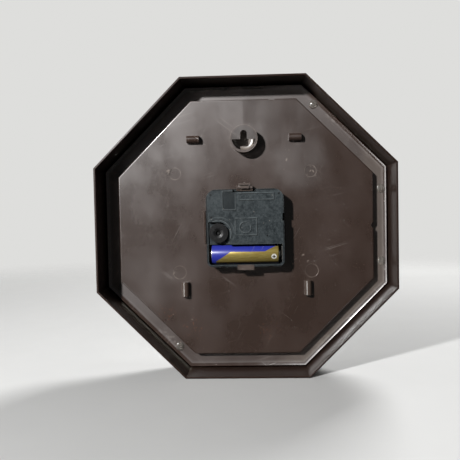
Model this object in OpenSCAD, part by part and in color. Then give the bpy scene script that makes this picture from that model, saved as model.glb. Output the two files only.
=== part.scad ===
// Octagonal wall clock, seen from the back in its working frame.
// Row frame: +Z up, the dial faces -Y, the wall is the plane Y = 0, and the origin is the hanger.
// Every piece is drawn on the bench: x to the right seen from the back, y up, z towards the wall,
// with z = 0 at the rear rim and the hands' axis at x = y = 0. hung() stands it up.

/* [Case] */
// Width of the case across its flats
case_w = 216; // [200:1:240]
// Thickness of the case wall
case_wall = 1.6; // [1.2:0.1:2.6]
// Thickness of the bezel lip in front of the lens
bezel_t = 2.2; // [1.6:0.1:3]
// Width of the bezel from the case's flat to the sight opening
bezel_w = 16; // [13:0.5:24]
// Radius of the bezel's outer front edge
bezel_round = 4; // [2:0.5:5]

/* [Back plate] */
// Width of the flange round the raised plate
flange_w = 11; // [9:0.5:20]
// Depth of the raised plate behind the rear rim
plate_depth = 16.5; // [15.5:0.1:17.5]
// Height of the raised plate above its flange
plate_rise = 6.5; // [5.5:0.1:7.5]
// Thickness of the plate's moulding
plate_wall = 2; // [1.4:0.1:2.2]
// Gap between the flange and the case wall
flange_gap = 1.4; // [0.4:0.1:2]
// Radius on the plate's moulded edges
plate_round = 1; // [0.5:0.1:1.3]
// Height of the lip that curls up along the flange's outer edge
lip_h = 1.1; // [0.6:0.1:1.6]
// Width over which the lip curls up
lip_w = 3.6; // [2.6:0.1:5]

/* [Hanger and lugs] */
// Height of the hanger above the hands' axis
hanger_rise = 64.5; // [58:0.5:76]
// Outside diameter of the hanger boss
hanger_d = 20; // [18:0.5:24]
// Height of the hanger boss above the plate
hanger_h = 9.5; // [7:0.5:12]
// Wall of the hanger boss
hanger_wall = 1.5; // [1.2:0.1:2]
// Width of the hanger slot
slot_w = 4.8; // [4.2:0.1:6]
// Length of the hanger slot above the web's edge
slot_l = 6.6; // [5.5:0.1:7.4]
// Thickness of the web that hangs on the nail
web_t = 1.6; // [1.2:0.1:2.4]
// Height of the lugs above the plate
lug_h = 5; // [3:0.5:7]
// Width across a lug
lug_w = 5.2; // [4:0.1:6]
// Length of an upper lug
upper_lug_l = 9; // [7:0.5:12]
// Length of a lower lug
lower_lug_l = 10.5; // [8:0.5:14]

/* [Dial and lens] */
// Thickness of the dial sheet
dial_t = 1; // [0.5:0.1:1.5]
// Room for the hands between the dial and the lens
hand_room = 9.8; // [9:0.1:16]
// Thickness of the lens
lens_t = 2; // [1.5:0.1:3]
// Clearance of the lens, ring and dial in the case
case_fit = 0.4; // [0.2:0.1:0.8]
// Wall of the ring between dial and lens
ring_wall = 1.6; // [1:0.1:2]

/* [Hands] */
// Length of the hour hand from the axis
hour_l = 54; // [40:1:60]
// Length of the minute hand from the axis
minute_l = 78; // [60:1:82]
// Length of the second hand from the axis
second_l = 80; // [60:1:82]
// Length of the second hand's tail
tail_l = 24; // [15:1:30]
// Thickness of the sheet that the hands are cut from
hand_t = 0.5; // [0.3:0.1:0.8]
// Hour that the clock shows
show_hour = 10; // [0:1:11]
// Minute that the clock shows
show_minute = 9; // [0:1:59]
// Second that the clock shows
show_second = 35; // [0:1:59]

/* [Movement] */
// Height of the movement's case above the hands' axis
move_rise = 28; // [27.6:0.1:30]
// Thickness of the movement's case
move_t = 16; // [16:0.1:17]
// Depth of the movement's back behind the rear rim
move_back = 5; // [4.5:0.1:5.5]
// Wall of the movement's case
move_wall = 1.2; // [1:0.1:1.4]
// Radius of the movement's lower corners
move_round = 4.5; // [3:0.5:5]
// Radius of the movement's upper corners
cover_round = 7.5; // [6:0.5:7.5]
// Clearance of the movement in its pocket
pocket_fit = 0.5; // [0.3:0.1:0.7]
// Depth of the cover's rim
cover_rim = 2.4; // [2:0.1:2.6]
// Distance of the cover's lower edge below the hands' axis
cover_drop = 11.8; // [11.7:0.1:12]
// Outside diameter of the bush round the hands' pipes
bush_d = 8; // [7.6:0.1:9]

/* [Battery] */
// Diameter of the AA cell
cell_d = 14.2; // [13.6:0.1:14.3]
// Length of the AA cell with its nub
cell_l = 50.5; // [49.5:0.1:50.8]
// Clearance of the cell in its bay
cell_fit = 0.3; // [0.2:0.05:0.35]
// Room for a contact at each end of the cell
end_room = 1.55; // [1.5:0.05:2]
// Wall below the cell
bay_wall = 1.4; // [1.2:0.1:1.8]

/* [Setting knob] */
// Diameter of the setting knob
knob_d = 14; // [12:0.5:14.5]
// Distance of the knob to the left of the hands' axis
knob_left = 19.4; // [19:0.1:19.8]
// Distance of the knob below the hands' axis
knob_drop = 3.4; // [3:0.1:3.8]
// Clearance round the knob in its pocket
knob_gap = 1.1; // [0.8:0.1:1.2]

/* [Gear train] */
// Distance of the third wheel from the hands' axis
third_dist = 11.56; // [11.4:0.02:11.8]
// Distance of the fifth wheel from the hands' axis
fifth_dist = 12; // [11.8:0.1:12.2]
// Distance of the rotor from the fifth wheel
rotor_dist = 8.96; // [8.8:0.02:9.1]
// Distance of the motion wheel from the hands' axis
motion_dist = 10.8; // [10.7:0.05:11]
// Face width of the wheels
face_w = 0.8; // [0.6:0.05:0.85]
// Radial clearance of a shaft in its hole
run_fit = 0.05; // [0.03:0.01:0.08]

/* [Hidden] */
$fn = 48;
cut = 0.5;

// Colours
brown = [0.20, 0.15, 0.14];
slate = [0.22, 0.25, 0.26];
black = [0.05, 0.05, 0.05];
cream = [0.93, 0.91, 0.85];
nylon = [0.90, 0.89, 0.84];
steel = [0.68, 0.69, 0.70];

// Depths on the bench, from the wall to the front
half_flat = cos(22.5);
lip_round = 0.5;
plate_rear = -plate_depth;
flange_rear = plate_rear - plate_rise;
flange_front = flange_rear - plate_wall;
dial_front = flange_front - dial_t;
lens_rear = dial_front - hand_room;
lens_front = lens_rear - lens_t;
case_front = lens_front - bezel_t;
case_in = case_w / 2 - case_wall;
flange_edge = case_in - flange_gap;
plate_side = flange_edge - flange_w;
plate_in = plate_side - plate_wall;
tub_wall = 1.5;
mark_d = 0.45;
sight_in = case_w / 2 - bezel_w;
ring_foot = sight_in - 2;

// Movement levels
back = -move_back;
front = back - move_t;
floor_w = front + 1;
cover_in = back - move_wall;
wall_top = back - cover_rim;
cell_r = cell_d / 2;
cell_y = -cover_drop - cell_fit - cell_r;
cell_w = floor_w + 0.2 + cell_r;
bay_low = cell_y - cell_r - cell_fit;
move_low = bay_low - bay_wall;
inner = cell_l / 2 + end_room;
half = inner + move_wall;
in_top = move_rise - move_wall;
pocket_floor = front - plate_wall + 0.3;
plate_t = 1;
level_gap = 0.4;
hour_level = floor_w + 0.3;
minute_level = hour_level + face_w + level_gap + 0.4;
centre_level = minute_level + face_w + level_gap + 0.3;
third_level = centre_level + face_w + level_gap + 0.1;
second_level = third_level + face_w + level_gap + 0.2;
fifth_level = second_level + face_w + level_gap + 0.1;
train_plate_w = fifth_level + face_w + level_gap;
stator_w = train_plate_w + plate_t;
board_w = stator_w + plate_t;
board_t = 1;
knob_floor_w = board_w - 0.4;

// Hands' stack in front of the dial
bush_front = dial_front - 1.5;
hour_w = bush_front - 1.9;
minute_w = hour_w - 1.8;
second_w = minute_w - 1.8;
second_r = 0.5;
minute_r = second_r + run_fit + 1.05;
hour_r = minute_r + run_fit + 0.95;
bush_r = hour_r + run_fit;
hour_angle = (show_hour + show_minute / 60) * 30;
minute_angle = (show_minute + show_second / 60) * 6;
second_angle = show_second * 6;
hand_fit = 0.02;

// Gear train: counts, modules from the centre distances, places and phases
leaf_teeth = 8;
fifth_teeth = 48;
second_teeth = 40;
third_teeth = 60;
centre_teeth = 64;
cannon_teeth = 12;
motion_teeth = 36;
motion_leaves = 10;
hour_teeth = 40;
knob_teeth = 10;
third_mod = 2 * third_dist / (leaf_teeth + third_teeth);
centre_mod = 2 * third_dist / (leaf_teeth + centre_teeth);
second_mod = 2 * fifth_dist / (leaf_teeth + second_teeth);
rotor_mod = 2 * rotor_dist / (leaf_teeth + fifth_teeth);
cannon_mod = 2 * motion_dist / (cannon_teeth + motion_teeth);
hour_mod = 2 * motion_dist / (motion_leaves + hour_teeth);
third_dir = 100;
fifth_dir = 20;
rotor_dir = 60;
axis_pos = [0, 0];
third_pos = third_dist * [cos(third_dir), sin(third_dir)];
fifth_pos = fifth_dist * [cos(fifth_dir), sin(fifth_dir)];
rotor_pos = fifth_pos + rotor_dist * [cos(rotor_dir), sin(rotor_dir)];
knob_pos = [-knob_left, -knob_drop];
knob_dist = norm(knob_pos);
knob_mesh = cannon_mod * (motion_teeth + knob_teeth) / 2;
motion_turn = acos((pow(motion_dist, 2) + pow(knob_dist, 2) - pow(knob_mesh, 2))
    / (2 * motion_dist * knob_dist));
motion_dir = atan2(knob_pos.y, knob_pos.x) - motion_turn;
motion_pos = motion_dist * [cos(motion_dir), sin(motion_dir)];
to_knob = knob_pos - motion_pos;
knob_dir = atan2(to_knob.y, to_knob.x);
motion_phase = mesh_phase(motion_dir, cannon_teeth, 0, motion_teeth);
hour_phase = mesh_phase(motion_dir + 180, motion_leaves, 0, hour_teeth);
knob_phase = mesh_phase(knob_dir, motion_teeth, motion_phase, knob_teeth);
third_phase = mesh_phase(third_dir, leaf_teeth, 0, third_teeth);
centre_phase = mesh_phase(third_dir + 180, leaf_teeth, 0, centre_teeth);
fifth_phase = mesh_phase(fifth_dir, second_teeth, 0, leaf_teeth);
rotor_phase = mesh_phase(rotor_dir, fifth_teeth, 0, leaf_teeth);
arbor_r = 0.4;
post_r = 1.5;
motion_post_r = 0.8;
knob_arbor_r = 1.2;
magnet_r = 2.8;

// Battery bay
cell_body_l = cell_l - 1.1;
cell_left = -cell_l / 2 + 0.1;
leaf_t = 0.3;
leaf_in = inner - 0.2;

// Coil and board
coil_r = 3.2;
coil_y = in_top - 5.2;
coil_left = 3;
coil_right = inner - 4;
core_w = 3;
core_t = 0.8;
coil_w = stator_w + core_t / 2;
leg_w = 2.3;
board_left = -inner + 0.8;
board_right = -1.4;
board_low = 8;
board_high = in_top - 0.8;
board_corner = 6.4;

// Clips, notches and marks of the plate and the movement
clip_w = 11.5;
clip_t = 1.8;
notch_w = 17.5;
notch_d = 2;
notch_floor = wall_top - 2.1;
snap_y = 4.7;
snap_w = 5.6;

// The phase that lets gear b mesh with gear a, whose tooth stands at phase_a, in this direction
function mesh_phase(direction, teeth_a, phase_a, teeth_b) =
    direction + 180 - 360 / teeth_b * (0.5 - (direction - phase_a) * teeth_a / 360);

// Points of an arc
function arc(cx, cy, r, a0, a1, n = 5) =
    [for (i = [0 : n]) let (a = a0 + (a1 - a0) * i / n) [cx + r * cos(a), cy + r * sin(a)]];

// Outline of a spur gear with one straight-sided tooth at the angle phase
function gear_points(teeth, mod, phase) =
    let (tip = mod * (teeth / 2 + 0.72), root = mod * (teeth / 2 - 1.02), step = 360 / teeth)
    [for (i = [0 : teeth - 1], p = [[root, -0.27], [tip, -0.11], [tip, 0.11], [root, 0.27]])
        let (a = phase + step * (i + p[1])) p[0] * [cos(a), sin(a)]];

module hung() {
    translate([0, 0, -hanger_rise]) rotate([90, 0, 180]) children();
}

// A flat outline raised between two depths
module slab(low, high) {
    translate([0, 0, low]) linear_extrude(high - low) children();
}

module octagon(flats) {
    rotate(22.5) circle(r = flats / 2 / half_flat, $fn = 8);
}

// A section, given as distance from the axis to a flat and depth, taken round the octagon
module octagon_sweep(section) {
    rotate(22.5) rotate_extrude($fn = 8)
        polygon([for (p = section) [p.x / half_flat, p.y]]);
}

module rod(pos, r, low, high) {
    translate([pos.x, pos.y, low]) cylinder(r = r, h = high - low);
}

module gear(pos, teeth, mod, phase, level, width = face_w) {
    translate([pos.x, pos.y]) slab(level, level + width) polygon(gear_points(teeth, mod, phase));
}

// Case

module case_frame() {
    out = case_w / 2;
    face = case_front;
    color(brown) hung() octagon_sweep(concat(
        [[case_in, 0], [out - 0.5, 0], [out, -0.5]],
        arc(out - bezel_round, face + bezel_round, bezel_round, 0, -90),
        [[out - bezel_round - 4, face], [out - bezel_round - 5.5, face + 0.9], [sight_in + 3, face + 0.9]],
        arc(sight_in + 1, face + 1.9, 1, -90, -180, 3),
        [[sight_in, lens_front], [case_in, lens_front]]
    ));
}

module lens() {
    color([0.85, 0.9, 0.92, 0.35]) hung() slab(lens_front, lens_rear) octagon(2 * (case_in - case_fit));
}

module dial_ring() {
    edge = case_in - case_fit;
    color(brown) hung() octagon_sweep([
        [ring_foot, dial_front], [ring_foot + ring_wall, dial_front],
        [sight_in + ring_wall + 0.5, lens_rear + ring_wall], [edge, lens_rear + ring_wall],
        [edge, lens_rear], [sight_in + 0.5, lens_rear]]);
}

module dial() {
    color(cream) hung() slab(dial_front, flange_front) difference() {
        octagon(2 * (case_in - case_fit - 0.4));
        circle(bush_d / 2 + 0.5);
    }
}

// Back plate

module lug(l) {
    rise = lug_h - lug_w / 2;
    rotate([90, 0, 0]) translate([0, 0, -l / 2]) linear_extrude(l) polygon(concat(
        [[-lug_w / 2, -cut], [lug_w / 2, -cut]], arc(0, rise, lug_w / 2, 0, 180, 10)));
}

module lugs() {
    for (side = [-1, 1]) {
        translate([side * hanger_rise * 0.58, hanger_rise + 1, plate_rear]) rotate(90) lug(upper_lug_l);
        translate([side * 45.3, -45, plate_rear]) lug(lower_lug_l);
    }
}

// A hollow boss whose upper half is a web with the nail's slot, open below for the nail's head
module hanger() {
    top = plate_rear + hanger_h;
    hollow_r = hanger_d / 2 - hanger_wall;
    slot_top = slot_l - slot_w / 2 - 0.6;
    translate([0, hanger_rise, 0]) {
        slab(plate_rear - cut, top) difference() {
            circle(hanger_d / 2);
            circle(hollow_r);
        }
        slab(top - web_t, top) difference() {
            intersection() {
                circle(hollow_r + 0.2);
                translate([-hanger_d, -0.6]) square(2 * hanger_d);
            }
            polygon(concat([[slot_w / 2, -2]], arc(0, slot_top, slot_w / 2, 0, 180, 10), [[-slot_w / 2, -2]]));
        }
    }
}

// The two spring hooks that hold the movement
module clips() {
    top_y = move_rise + pocket_fit;
    low_y = move_low - pocket_fit;
    reach = plate_rear - cut;
    nose_low = notch_floor + 0.2;
    nose_l = 1.7;
    lower_w = clip_w + 0.5;
    stay_w = clip_w * 0.72;
    stay_y = top_y + clip_t + 0.7;
    translate([-clip_w / 2, top_y, 0]) slab(reach, back - 1.5) square([clip_w, clip_t]);
    translate([-clip_w * 0.28, top_y, 0]) slab(reach, back - 0.2) square([clip_w * 0.56, clip_t]);
    translate([-stay_w / 2, stay_y, 0]) slab(reach, back - 0.8) square([stay_w, 1]);
    for (x = [-stay_w / 2, stay_w / 2 - 1.2]) translate([x, stay_y - 0.7 - cut, 0])
        slab(reach, back - 2) square([1.2, 0.7 + 2 * cut]);
    translate([-clip_w / 2, top_y - nose_l, 0]) slab(nose_low, nose_low + 1.5) square([clip_w, nose_l + cut]);
    translate([-lower_w / 2, low_y - clip_t, 0]) slab(reach, back - 0.2) square([lower_w, clip_t]);
    translate([-lower_w / 2, low_y - cut, 0]) slab(back - 1.8, back - 0.2)
        square([lower_w, bay_low - low_y + cut - 0.1]);
}

module locating_ribs() {
    for (side = [-1, 1]) translate([side * (half + pocket_fit + 1.5), 0.8, 0])
        slab(plate_rear - cut, plate_rear + 1.2) square([1.2, 24], center = true);
}

// Round marks that the ejector pins leave in the plate
module pin_marks() {
    for (side = [-1, 1]) {
        rod([side * 50 - 1.5, 40.7], 4.3, plate_rear - mark_d, plate_rear + cut);
        rod([side * 49 - 0.5, -32.7], 4.9, plate_rear - mark_d, plate_rear + cut);
    }
}

// The sloped ring from the raised plate to the flange's lip
module flange_ring() {
    edge = flange_edge - lip_round;
    octagon_sweep(concat(
        [[plate_in, plate_rear - plate_wall], [plate_in, flange_front], [flange_edge, flange_front]],
        arc(edge, flange_rear + lip_h - lip_round, lip_round, 0, 90, 3),
        [for (t = [0.12, 0.28, 0.5, 0.75, 1]) [edge - t * lip_w, flange_rear + lip_h * pow(1 - t, 2)]],
        [[plate_side + 0.3, flange_rear]],
        arc(plate_side - plate_round, plate_rear - plate_round, plate_round, 0, 90, 4),
        [[plate_in, plate_rear]]
    ));
}

module edge_notches() {
    rod([plate_side + 0.4, 0], 2.2, flange_rear + 1, plate_rear + cut);
    rod([21, plate_side + 0.4], 2.2, flange_rear + 1, plate_rear + cut);
}

module back_plate() {
    color(brown) hung() difference() {
        union() {
            flange_ring();
            slab(plate_rear - plate_wall, plate_rear) octagon(2 * plate_in);
            slab(pocket_floor, plate_rear - 0.5) movement_outline(-pocket_fit - tub_wall);
            hanger();
            lugs();
            locating_ribs();
            clips();
        }
        slab(front, plate_rear + cut) movement_outline(-pocket_fit);
        rod(axis_pos, bush_d / 2 + 0.2, pocket_floor - cut, front + cut);
        pin_marks();
        edge_notches();
    }
}

// Glue that ties the flange's lip to the plate
module glue_drops() {
    drop_r = 3.6;
    drop_h = 1.6;
    ball_r = (drop_r * drop_r + drop_h * drop_h) / (2 * drop_h);
    color([0.55, 0.52, 0.48]) hung() for (drop = [[0, -27, 3.9], [0, 27, 4], [45, 27, 4.2], [225, 27, 5]])
        rotate(drop[0]) translate([flange_edge - drop[2], drop[1], flange_rear]) difference() {
            intersection() {
                translate([0, 0, drop_h - ball_r]) sphere(ball_r);
                cylinder(r = drop_r + 1, h = drop_h + cut);
            }
            translate([drop[2] - flange_edge, -drop[1], -flange_rear]) flange_ring();
        }
}

// Movement housing

module movement_outline(inset = 0) {
    top_r = cover_round - inset;
    low_r = move_round - inset;
    x = half - inset;
    top = move_rise - inset;
    low = move_low + inset;
    for (side = [-1, 1]) {
        translate([side * (x - top_r), top - top_r]) circle(top_r);
        translate([side * (x - low_r), low + low_r]) circle(low_r);
    }
    polygon([[low_r - x, low], [x - low_r, low], [x, low + low_r], [x, top - top_r],
        [x - top_r, top], [top_r - x, top], [-x, top - top_r], [-x, low + low_r]]);
}

// The part of the outline above the cover's lower edge
module upper_area(inset = 0, low = -cover_drop) {
    intersection() {
        movement_outline(inset);
        translate([-half, low]) square([2 * half, move_rise - low]);
    }
}

// The knob's corner of the cover, open to the left and below
module knob_corner(grow) {
    r = knob_d / 2 + knob_gap + grow;
    translate(knob_pos) circle(r);
    translate([-half - cut, -cover_drop - cut])
        square([half + cut - knob_left + r, cover_drop + cut - knob_drop]);
    translate([-half - cut, -cover_drop - cut]) square([half + cut - knob_left, cover_drop + cut - knob_drop + r]);
}

module hand_bush() {
    rod(axis_pos, bush_d / 2, bush_front, front + cut);
}

module case_posts() {
    for (pos = [[-inner + 2.6, in_top - 2.6], [-inner + 2.2, -cover_drop + 3.2], [inner - 2.4, -cover_drop + 3.2],
        [inner - 2.2, board_low]])
        rod(pos, post_r, floor_w - cut, train_plate_w);
    rod(rotor_pos, post_r, floor_w - cut, fifth_level - 0.8);
    rod(motion_pos, motion_post_r, floor_w - cut, minute_level + face_w + 0.1);
}

module pivot_holes() {
    for (pos = [third_pos, fifth_pos]) rod(pos, arbor_r + run_fit, front + 0.4, floor_w + cut);
    rod(rotor_pos, arbor_r + run_fit, fifth_level - 2, fifth_level);
    rod(knob_pos, knob_arbor_r + run_fit, front + 0.4, floor_w + cut);
    rod(axis_pos, bush_r, bush_front - cut, floor_w + cut);
}

// Snap posts of the case that stand in the cover's side notches
module side_snaps(fit) {
    for (side = [-1, 1]) translate([side * (half - move_wall / 2), snap_y + snap_w / 2])
        square([move_wall + 0.02, snap_w - 2 * fit], center = true);
}

module movement_case() {
    partition = -cover_drop - cell_fit * 0.2;
    color(slate) hung() difference() {
        union() {
            slab(front, floor_w) movement_outline();
            slab(front, wall_top) difference() {
                movement_outline();
                movement_outline(move_wall);
            }
            slab(front, back) difference() {
                movement_outline();
                movement_outline(move_wall);
                translate([-half - cut, partition]) square(2 * [half + cut, half]);
            }
            slab(front, wall_top + 0.3) side_snaps(0.1);
            slab(front, wall_top) translate([-inner - 0.1, partition]) square([2 * inner + 0.2, 0.8]);
            slab(front, back) difference() {
                translate([-inner - 0.1, move_low]) square([2 * inner + 0.2, bay_wall]);
                difference() {
                    square(4 * half, center = true);
                    movement_outline();
                }
            }
            case_posts();
            hand_bush();
        }
        pivot_holes();
        translate([0, move_rise, 0]) slab(notch_floor, back + cut) square([notch_w, 2 * notch_d], center = true);
        translate([0, move_low, 0]) slab(back - 2, back + cut)
            square([clip_w + 1.1, 2 * (bay_wall + cut)], center = true);
        slab(knob_floor_w - 0.1, back + cut) intersection() {
            movement_outline(move_wall + 0.05);
            knob_corner(1.1);
        }
        for (x = [-16.5, 18.5]) translate([x, move_low, 0]) slab(back - 3, back + cut)
            square([3, 1.2], center = true);
        translate([-inner - 0.05, partition - 0.1, 0]) slab(train_plate_w - 1.2, wall_top + cut) square([1, 1]);
        translate([inner - 1.05, partition - 0.1, 0]) slab(stator_w - 0.2, wall_top + cut) square([1, 1]);
    }
}

module movement_cover() {
    color(slate) hung() difference() {
        union() {
            slab(cover_in, back) upper_area();
            slab(wall_top, back) difference() {
                upper_area();
                upper_area(move_wall, move_low);
            }
            slab(knob_floor_w, back) intersection() {
                upper_area(move_wall + 0.1);
                knob_corner(1);
            }
            rod(rotor_pos, post_r, stator_w + core_t + 0.5, back - 0.5);
            slab(back - cut, back + 0.2) translate([-4.7, 20.3]) square([25.4, 4.9]);
            slab(back - cut, back + 0.2) translate([-7.2, -5]) square([15.5, 12.2]);
        }
        slab(back - 0.1, back + cut) translate([-4.2, 20.8]) square([24.4, 3.9]);
        slab(back - 0.1, back + cut) translate([-6.7, -4.5]) square([14.5, 11.2]);
        slab(knob_floor_w + 1, back + cut) knob_corner(0);
        slab(back - 0.5, back + cut) translate([-16, 13.5]) square([9.1, 12.4]);
        for (pos = [[24.6, 24.3], [-24.2, 7.9], [15.9, -5.8]]) rod(pos, 0.9, back - 0.3, back + cut);
        rod(knob_pos, knob_arbor_r + run_fit, knob_floor_w - cut, knob_floor_w + 1 + cut);
        rod(rotor_pos, arbor_r + run_fit, stator_w, stator_w + core_t + 1.6);
        translate([0, move_rise, 0]) slab(notch_floor, back + cut) square([notch_w, 2 * notch_d], center = true);
        slab(wall_top - cut, back + cut) side_snaps(0);
    }
    color(slate) hung() slab(back - 0.1, back + 0.2) difference() {
        circle(4.3);
        circle(3.7);
    }
}

// Electric parts

module train_plate() {
    color(nylon) hung() difference() {
        union() {
            slab(train_plate_w, stator_w) difference() {
                upper_area(move_wall + 0.8, -cover_drop + 1.6);
                translate([1, coil_y - 4.2]) square([inner, 9]);
            }
            for (x = [board_left + 3, board_right - 3]) rod([x, board_high - 3], post_r, stator_w - cut, board_w);
        }
        for (pos = [third_pos, fifth_pos])
            rod(pos, arbor_r + run_fit, train_plate_w - cut, stator_w + cut);
        rod(axis_pos, second_r + run_fit, train_plate_w - cut, stator_w + cut);
        rod(knob_pos, knob_arbor_r + 0.3, train_plate_w - cut, stator_w + cut);
        rod(rotor_pos, magnet_r + 0.8, train_plate_w - cut, stator_w + cut);
    }
}

module stator() {
    bar_y = rotor_pos.y;
    left = coil_left - 0.2 - leg_w;
    right = coil_right + 0.2;
    color(steel) hung() slab(stator_w, stator_w + core_t) difference() {
        union() {
            for (x = [left, right]) translate([x, bar_y - 2.5])
                square([leg_w, coil_y + core_w / 2 - bar_y + 2.5]);
            translate([left, coil_y - core_w / 2]) square([right - left + leg_w, core_w]);
            translate([left, bar_y - 2.5]) square([right - left + leg_w, 5]);
            translate(rotor_pos) circle(magnet_r + 2.2);
        }
        translate(rotor_pos) circle(magnet_r + 0.5);
    }
}

module across_coil(x0, x1) {
    translate([x0, coil_y, coil_w]) rotate([90, 0, 90]) linear_extrude(x1 - x0) children();
}

module coil_bobbin() {
    color(nylon) hung() difference() {
        union() {
            across_coil(coil_left, coil_right) square([core_w + 1.4, core_t + 1.2], center = true);
            for (x = [coil_left, coil_right - 0.8]) across_coil(x, x + 0.8) circle(coil_r + 0.2);
        }
        across_coil(coil_left - cut, coil_right + cut) square([core_w + 0.1, core_t + 0.1], center = true);
    }
}

module coil_winding() {
    color([0.62, 0.32, 0.16]) hung() difference() {
        across_coil(coil_left + 0.85, coil_right - 0.85) circle(coil_r);
        across_coil(coil_left, coil_right) square([core_w + 1.5, core_t + 1.3], center = true);
    }
}

module circuit_board() {
    color([0.13, 0.30, 0.18]) hung() slab(board_w, board_w + board_t) difference() {
        translate([board_left, board_low]) square([board_right - board_left, board_high - board_low]);
        translate([board_left, board_high]) rotate(45) square(board_corner, center = true);
    }
}

module quartz_crystal() {
    lie = board_w + board_t + 1.02;
    color(steel) hung() {
        translate([-19, 21, lie]) rotate([0, 90, 0]) cylinder(r = 1, h = 6);
        translate([-13.1, 20.6, lie]) rotate([0, 90, 0]) cylinder(r = 0.15, h = 2);
        translate([-13.1, 21.4, lie]) rotate([0, 90, 0]) cylinder(r = 0.15, h = 2);
        for (y = [20.6, 21.4]) rod([-11.2, y], 0.15, board_w + board_t, lie);
    }
}

module chip_cover() {
    color(black) hung() translate([-8.5, 14, board_w + board_t]) intersection() {
        translate([0, 0, -3.8]) sphere(5);
        cylinder(r = 4, h = 2);
    }
}

// Battery and its contacts

module battery() {
    body = cell_left + cell_body_l;
    color([0.75, 0.6, 0.25]) hung() translate([0, cell_y, cell_w]) rotate([90, 0, 90]) {
        translate([0, 0, cell_left + 0.3]) cylinder(r = cell_r, h = cell_body_l - 0.6);
        translate([0, 0, cell_left]) cylinder(r = cell_r - 0.6, h = cell_body_l);
        translate([0, 0, body - cut]) cylinder(r = 2.75, h = 1.1 + cut);
    }
}

module contact_plate(x, low, high) {
    translate([x, cell_y - 5, low]) cube([leaf_t, 10, high - low]);
}

module negative_contact() {
    rise = cell_w + 4;
    strip_low = train_plate_w - 1;
    color(steel) hung() {
        contact_plate(-leaf_in, floor_w + 0.3, rise);
        translate([-leaf_in, cell_y + 4, strip_low]) cube([leaf_t, board_low + 1 - cell_y - 4, plate_t + 0.8]);
        translate([-leaf_in, board_low - 1, strip_low]) cube([leaf_t, 2, board_w + board_t - strip_low]);
        translate([-leaf_in, cell_y + 2.5, 0]) rotate([90, 0, 0]) linear_extrude(5) polygon([
            [0.1, cell_w - 4], [-cell_l / 2 + 0.1 + leaf_in - 0.15 - leaf_t, cell_w], [0.1, cell_w + 4],
            [leaf_t + 0.1, cell_w + 4], [-cell_l / 2 + 0.1 + leaf_in - 0.15, cell_w], [leaf_t + 0.1, cell_w - 4]]);
    }
}

module positive_contact() {
    strip_y = -cover_drop + 1.2;
    strip_low = stator_w;
    turn_x = -knob_left + knob_d / 2 + knob_gap + 2;
    color(steel) hung() {
        contact_plate(leaf_in - leaf_t, floor_w + 0.3, cell_w + 4);
        translate([leaf_in - leaf_t, cell_y + 4, strip_low]) cube([leaf_t, strip_y + leaf_t - cell_y - 4, 1.4]);
        translate([turn_x, strip_y, strip_low]) cube([leaf_in - turn_x, leaf_t, 1.4]);
        translate([turn_x, strip_y, strip_low]) cube([leaf_t, board_low - strip_y, 1.4]);
    }
}

// Setting knob

module setting_knob() {
    seat = board_w + 0.9;
    top = back - 0.2;
    color(black) hung() difference() {
        union() {
            rod(knob_pos, knob_d / 2, seat, top);
            rod(knob_pos, knob_arbor_r, front + 0.5, seat + cut);
            gear(knob_pos, knob_teeth, cannon_mod, knob_phase, minute_level, face_w);
        }
        translate([knob_pos.x, knob_pos.y, top + 12.4]) sphere(r = 13);
        rod(knob_pos, 1.9, top - 2.2, top + cut);
        for (a = [0 : 15 : 345]) translate([knob_pos.x, knob_pos.y]) rotate(a)
            rod([knob_d / 2 + 0.25, 0], 0.5, seat - cut, top + cut);
    }
    color(black) hung() rod(knob_pos, 0.8, top - 2.4, top - 0.7);
}

// Gear train, from the motor to the hands

module rotor() {
    color([0.85, 0.85, 0.82]) hung() {
        gear(rotor_pos, leaf_teeth, rotor_mod, rotor_phase, fifth_level);
        rod(rotor_pos, arbor_r, fifth_level - 1.8, stator_w + core_t + 1.4);
        rod(rotor_pos, magnet_r, stator_w - 0.5, stator_w + core_t + 0.3);
        rod(rotor_pos, 1, fifth_level + face_w - 0.1, stator_w);
    }
}

module fifth_wheel() {
    color(nylon) hung() {
        gear(fifth_pos, fifth_teeth, rotor_mod, 0, fifth_level);
        gear(fifth_pos, leaf_teeth, second_mod, fifth_phase, second_level, fifth_level - second_level + 0.1);
        rod(fifth_pos, arbor_r, front + 0.5, stator_w - 0.1);
    }
}

module second_wheel() {
    color(nylon) hung() {
        gear(axis_pos, second_teeth, second_mod, 0, second_level);
        gear(axis_pos, leaf_teeth, third_mod, 0, third_level, second_level - third_level + 0.1);
        rod(axis_pos, second_r, second_w - 0.3, stator_w - 0.1);
    }
}

module third_wheel() {
    color(nylon) hung() {
        gear(third_pos, third_teeth, third_mod, third_phase, third_level);
        gear(third_pos, leaf_teeth, centre_mod, 0, centre_level, third_level - centre_level + 0.1);
        rod(third_pos, arbor_r, front + 0.5, stator_w - 0.1);
    }
}

module centre_wheel() {
    color(nylon) hung() difference() {
        gear(axis_pos, centre_teeth, centre_mod, centre_phase, centre_level);
        rod(axis_pos, minute_r + run_fit, centre_level - cut, centre_level + face_w + cut);
    }
}

module minute_arbor() {
    color(nylon) hung() difference() {
        union() {
            gear(axis_pos, cannon_teeth, cannon_mod, 0, minute_level);
            rod(axis_pos, minute_r, minute_w - 0.2, centre_level + face_w + 0.2);
        }
        rod(axis_pos, second_r + run_fit, minute_w - cut, centre_level + face_w + cut);
    }
}

module motion_wheel() {
    color(nylon) hung() difference() {
        union() {
            gear(motion_pos, motion_teeth, cannon_mod, motion_phase, minute_level);
            gear(motion_pos, motion_leaves, hour_mod, 0, hour_level, minute_level - hour_level + 0.1);
        }
        rod(motion_pos, motion_post_r + run_fit, floor_w, centre_level);
    }
}

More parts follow.
